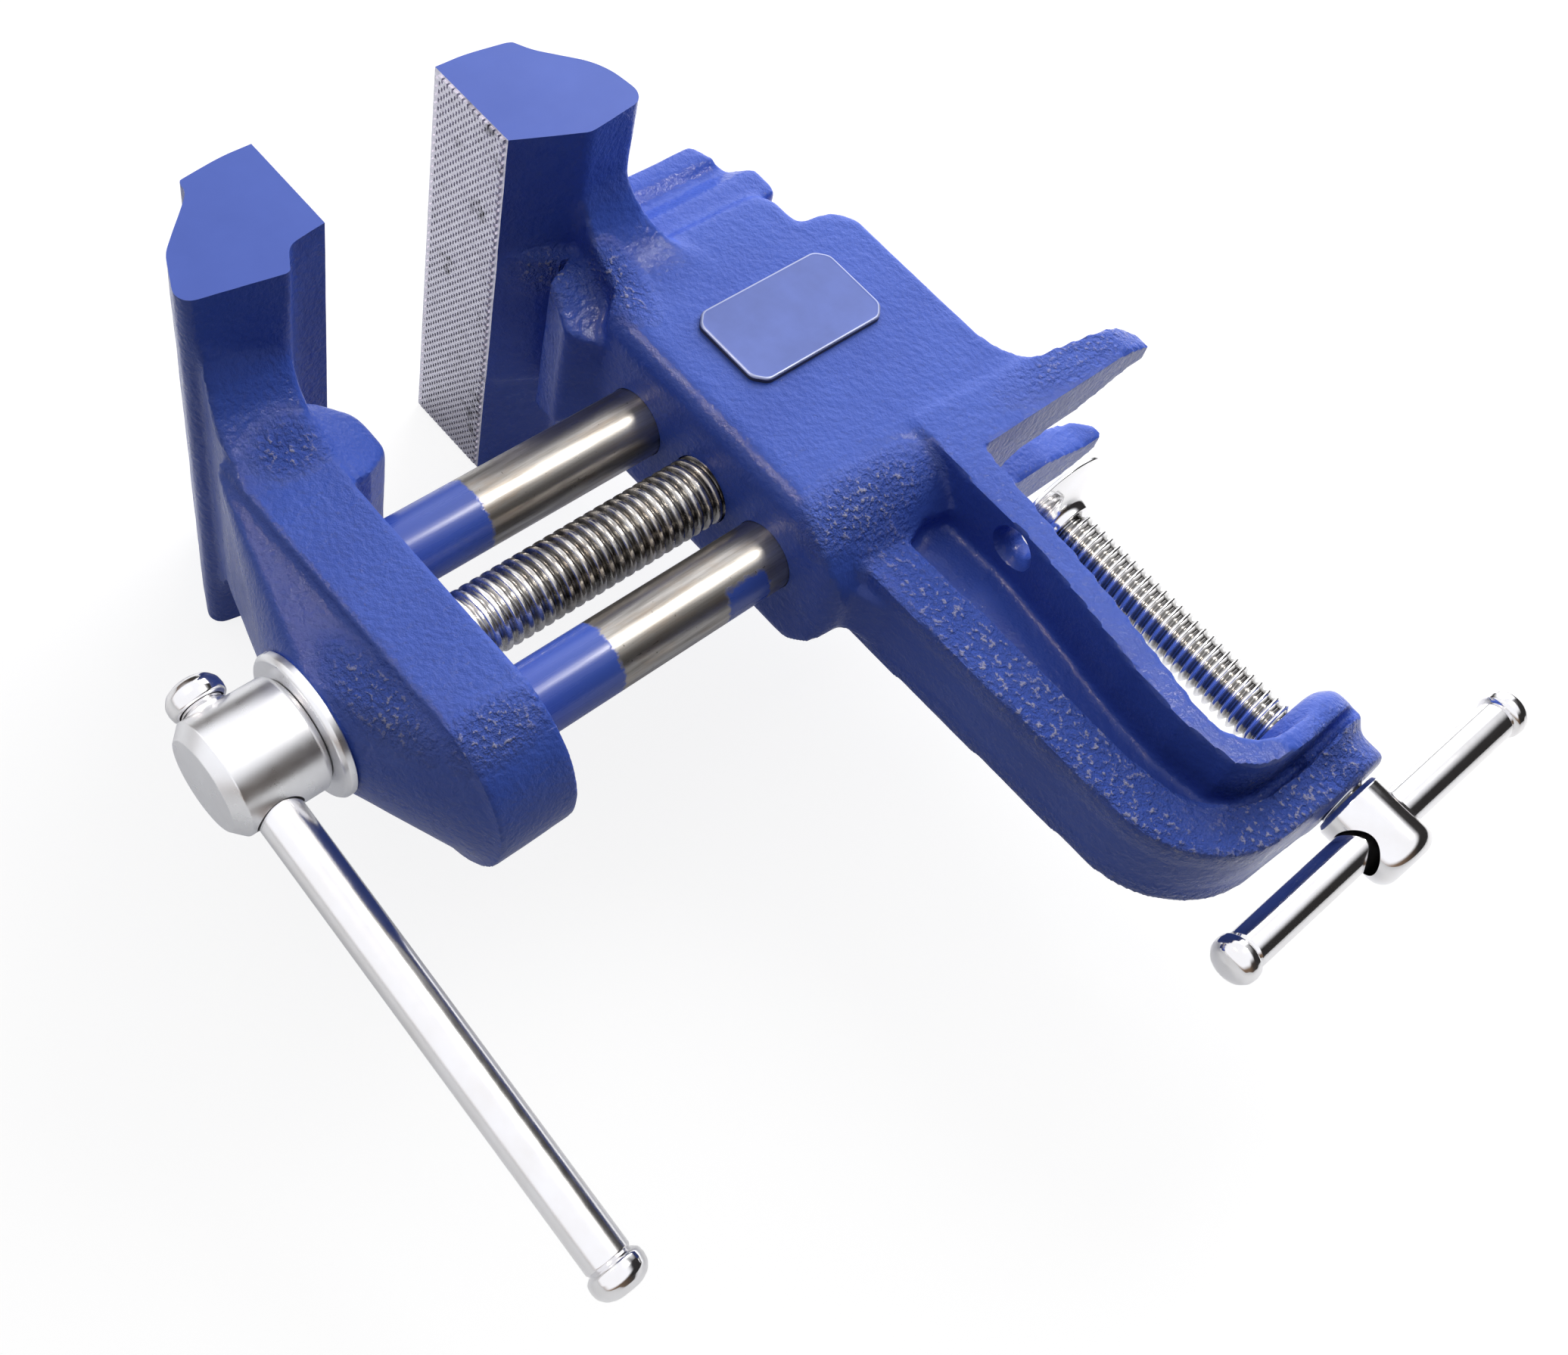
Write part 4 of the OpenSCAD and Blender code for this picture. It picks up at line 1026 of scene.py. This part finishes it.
# The plate's sides are painted near black as shade
plate_side_shade = make_plate_finish("plate_side_shade", (0.05, 0.055, 0.09), 0.40, 0.55, 0.3)
PLATE_Y, PLATE_Z, PLATE_L, PLATE_H = -16.7, 29.45, 23.0, 13.3
PLATE_CUT, PLATE_EASE, PLATE_SINK = 1.7, 0.7, 0.1


def plate_outline(inset, turns=6):
    """Corners of the plate, cut and then rounded, drawn in by an inset."""
    half_l, half_h = PLATE_L / 2 - inset, PLATE_H / 2 - inset
    cut = PLATE_CUT - inset * 0.55
    corners = [
        (half_l - cut, -half_h), (half_l, cut - half_h), (half_l, half_h - cut), (half_l - cut, half_h),
        (cut - half_l, half_h), (-half_l, half_h - cut), (-half_l, cut - half_h), (cut - half_l, -half_h)]
    out = []
    for i, here in enumerate(corners):
        before, after = Vector(corners[i - 1]), Vector(corners[(i + 1) % len(corners)])
        here = Vector(here)
        a = here + (before - here).normalized() * PLATE_EASE
        b = here + (after - here).normalized() * PLATE_EASE
        for k in range(turns + 1):
            t = k / turns
            out.append((1 - t) ** 2 * a + 2 * t * (1 - t) * here + t * t * b)
    return out


# Each level is an inset, a rise and the material of the band up to it
plate_levels = [
    (0.0, 0.0, 2), (0.0, 0.66, 2), (0.14, 0.86, 1), (0.34, 0.9, 1), (0.46, 0.87, 0), (0.6, 0.86, 0)]
bm = bmesh.new()
loops = []
for inset, rise, _ in plate_levels:
    x = (HALF_BODY + rise - PLATE_SINK) * MM
    corners = [(x, (PLATE_Y + p.x) * MM, (PLATE_Z + p.y) * MM) for p in plate_outline(inset)]
    loops.append([bm.verts.new(corner) for corner in corners])
for level, (lower, upper) in enumerate(zip(loops, loops[1:])):
    for k in range(len(lower)):
        j = (k + 1) % len(lower)
        bm.faces.new((lower[k], lower[j], upper[j], upper[k])).material_index = plate_levels[level + 1][2]
bm.faces.new(loops[-1]).material_index = 0
bm.faces.new(list(reversed(loops[0]))).material_index = 2
bmesh.ops.recalc_face_normals(bm, faces=bm.faces)
plate_mesh = as_mesh(bm, "bare_plate")
for material in (plate_face, plate_line, plate_side_shade):
    plate_mesh.materials.append(material)
plate = link_mesh("bare_plate", plate_mesh)
dress(plate, None, "frame", "plate_metal", "name_plate", sharp=50)


# %% [markdown]
# ## Floor, lamps and surroundings
# The vise lies on the ends of its jaws, so the floor is the plane under them, to the side of the frame's
# own Z axis. Seen from below, the floor lets the view through. One soft lamp stands behind and above, and
# two small ones make the glints on the enamel. The plain studio all round is white to the camera, and in
# reflections it is shaded from bright to dim, so that round plated parts read as metal.

# %% Stage
FLOOR_REACH, FLOOR_GAP = 1.6, 0.1
FLOOR_BOUNCED, FLOOR_SEEN, FLOOR_MIRRORED = (0.28, 0.28, 0.28), (0.20, 0.20, 0.20), (0.78, 0.78, 0.78)
GLOW_SEEN, GLOW_MIRRORED, GLOW_BOUNCED = 0.85, 0.145, 0.17


def make_floor():
    bm = bmesh.new()
    level = (-HALF_JAW - FLOOR_GAP) * MM
    corners = [(-1, -1), (1, -1), (1, 1), (-1, 1)]
    bm.faces.new([bm.verts.new((level, FLOOR_REACH * a, FLOOR_REACH * b)) for a, b in corners])
    mesh = as_mesh(bm, "floor")
    material = bpy.data.materials.new("pale_floor")
    material.cycles.emission_sampling = "NONE"
    tree = cleared(material)
    ray = add(tree, "ShaderNodeLightPath").outputs
    colour = blend(tree, ray["Is Camera Ray"], FLOOR_BOUNCED, FLOOR_SEEN)
    colour = blend(tree, ray["Is Glossy Ray"], colour, FLOOR_MIRRORED)
    seen = sums(tree, "MAXIMUM", ray["Is Camera Ray"], times(tree, ray["Is Glossy Ray"], GLOW_MIRRORED))
    seen = times(tree, sums(tree, "MAXIMUM", seen, ray["Is Transmission Ray"]), GLOW_SEEN)
    strength = sums(tree, "MAXIMUM", seen, times(tree, ray["Is Diffuse Ray"], GLOW_BOUNCED))
    pale = add(tree, "ShaderNodeBsdfDiffuse", {"Color": colour})
    glow = add(tree, "ShaderNodeEmission", {"Color": (1, 1, 1), "Strength": strength})
    both = add(tree, "ShaderNodeAddShader", {0: pale.outputs[0], 1: glow.outputs[0]})
    clear = add(tree, "ShaderNodeBsdfTransparent")
    behind = add(tree, "ShaderNodeNewGeometry").outputs["Backfacing"]
    choose = add(tree, "ShaderNodeMixShader", {0: behind, 1: both.outputs[0], 2: clear.outputs[0]})
    add(tree, "ShaderNodeOutputMaterial", {"Surface": choose.outputs[0]})
    mesh.materials.append(material)
    link_mesh("floor", mesh)


def lamp(name, place, aim, size, power, colour, diffuse=True, glossy=True):
    data = bpy.data.lights.new(name, "AREA")
    data.shape = "DISK"
    data.size = size
    data.energy = power
    data.color = colour
    lamp_object = bpy.data.objects.new(name, data)
    bpy.context.collection.objects.link(lamp_object)
    lamp_object.location = place
    lamp_object.rotation_euler = (Vector(aim) - Vector(place)).to_track_quat("-Z", "Y").to_euler()
    lamp_object.visible_diffuse = diffuse
    lamp_object.visible_glossy = glossy


def make_surroundings():
    world = bpy.data.worlds.new("studio")
    bpy.context.scene.world = world
    tree = cleared(world)
    view = add(tree, "ShaderNodeTexCoord").outputs["Generated"]
    ray = add(tree, "ShaderNodeLightPath").outputs
    front = ramp(tree, axis_of(tree, view, "Y"), 0.4, -0.8)
    sky = blend(tree, front, (0.030, 0.028, 0.028), (0.26, 0.17, 0.11))
    bright = ramp(tree, toward(tree, view, (0.9, -0.4, 0.15)), 0.22, 0.58, smooth=True)
    sky = blend(tree, bright, sky, (1.12, 1.12, 1.15))
    glow = ramp(tree, toward(tree, view, (0.41, 0.72, 0.56)), 0.84, 0.97, smooth=True)
    sky = blend(tree, glow, sky, (2.4, 2.4, 2.45))
    above = ramp(tree, toward(tree, view, (0.7, 0.4, 0.6)), 0.0, 0.6, smooth=True)
    soft = blend(tree, above, (0.02, 0.02, 0.02), (0.88, 0.88, 0.89))
    studio = add(tree, "ShaderNodeBackground", {"Color": blend(tree, ray["Is Glossy Ray"], soft, sky)})
    white = add(tree, "ShaderNodeBackground", {"Color": (1, 1, 1), "Strength": 1.0})
    seen = sums(tree, "MAXIMUM", ray["Is Camera Ray"], ray["Is Transmission Ray"])
    choose = add(tree, "ShaderNodeMixShader", {0: seen, 1: studio.outputs[0], 2: white.outputs[0]})
    add(tree, "ShaderNodeOutputWorld", {"Surface": choose.outputs[0]})


make_floor()
make_surroundings()
centre = (0, -0.045, 0.005)
lamp("soft_key", (0.14, 0.20, 0.12), centre, 0.34, 1.35, (1.0, 0.99, 0.98), glossy=False)
lamp("high_glint", (0.61, 0.263, -0.065), centre, 0.14, 2.4, (1.0, 0.95, 0.87), diffuse=False)
lamp("warm_glint", (0.588, -0.304, 0.285), centre, 0.12, 2.0, (1.0, 0.86, 0.72), diffuse=False)
print("stage set")
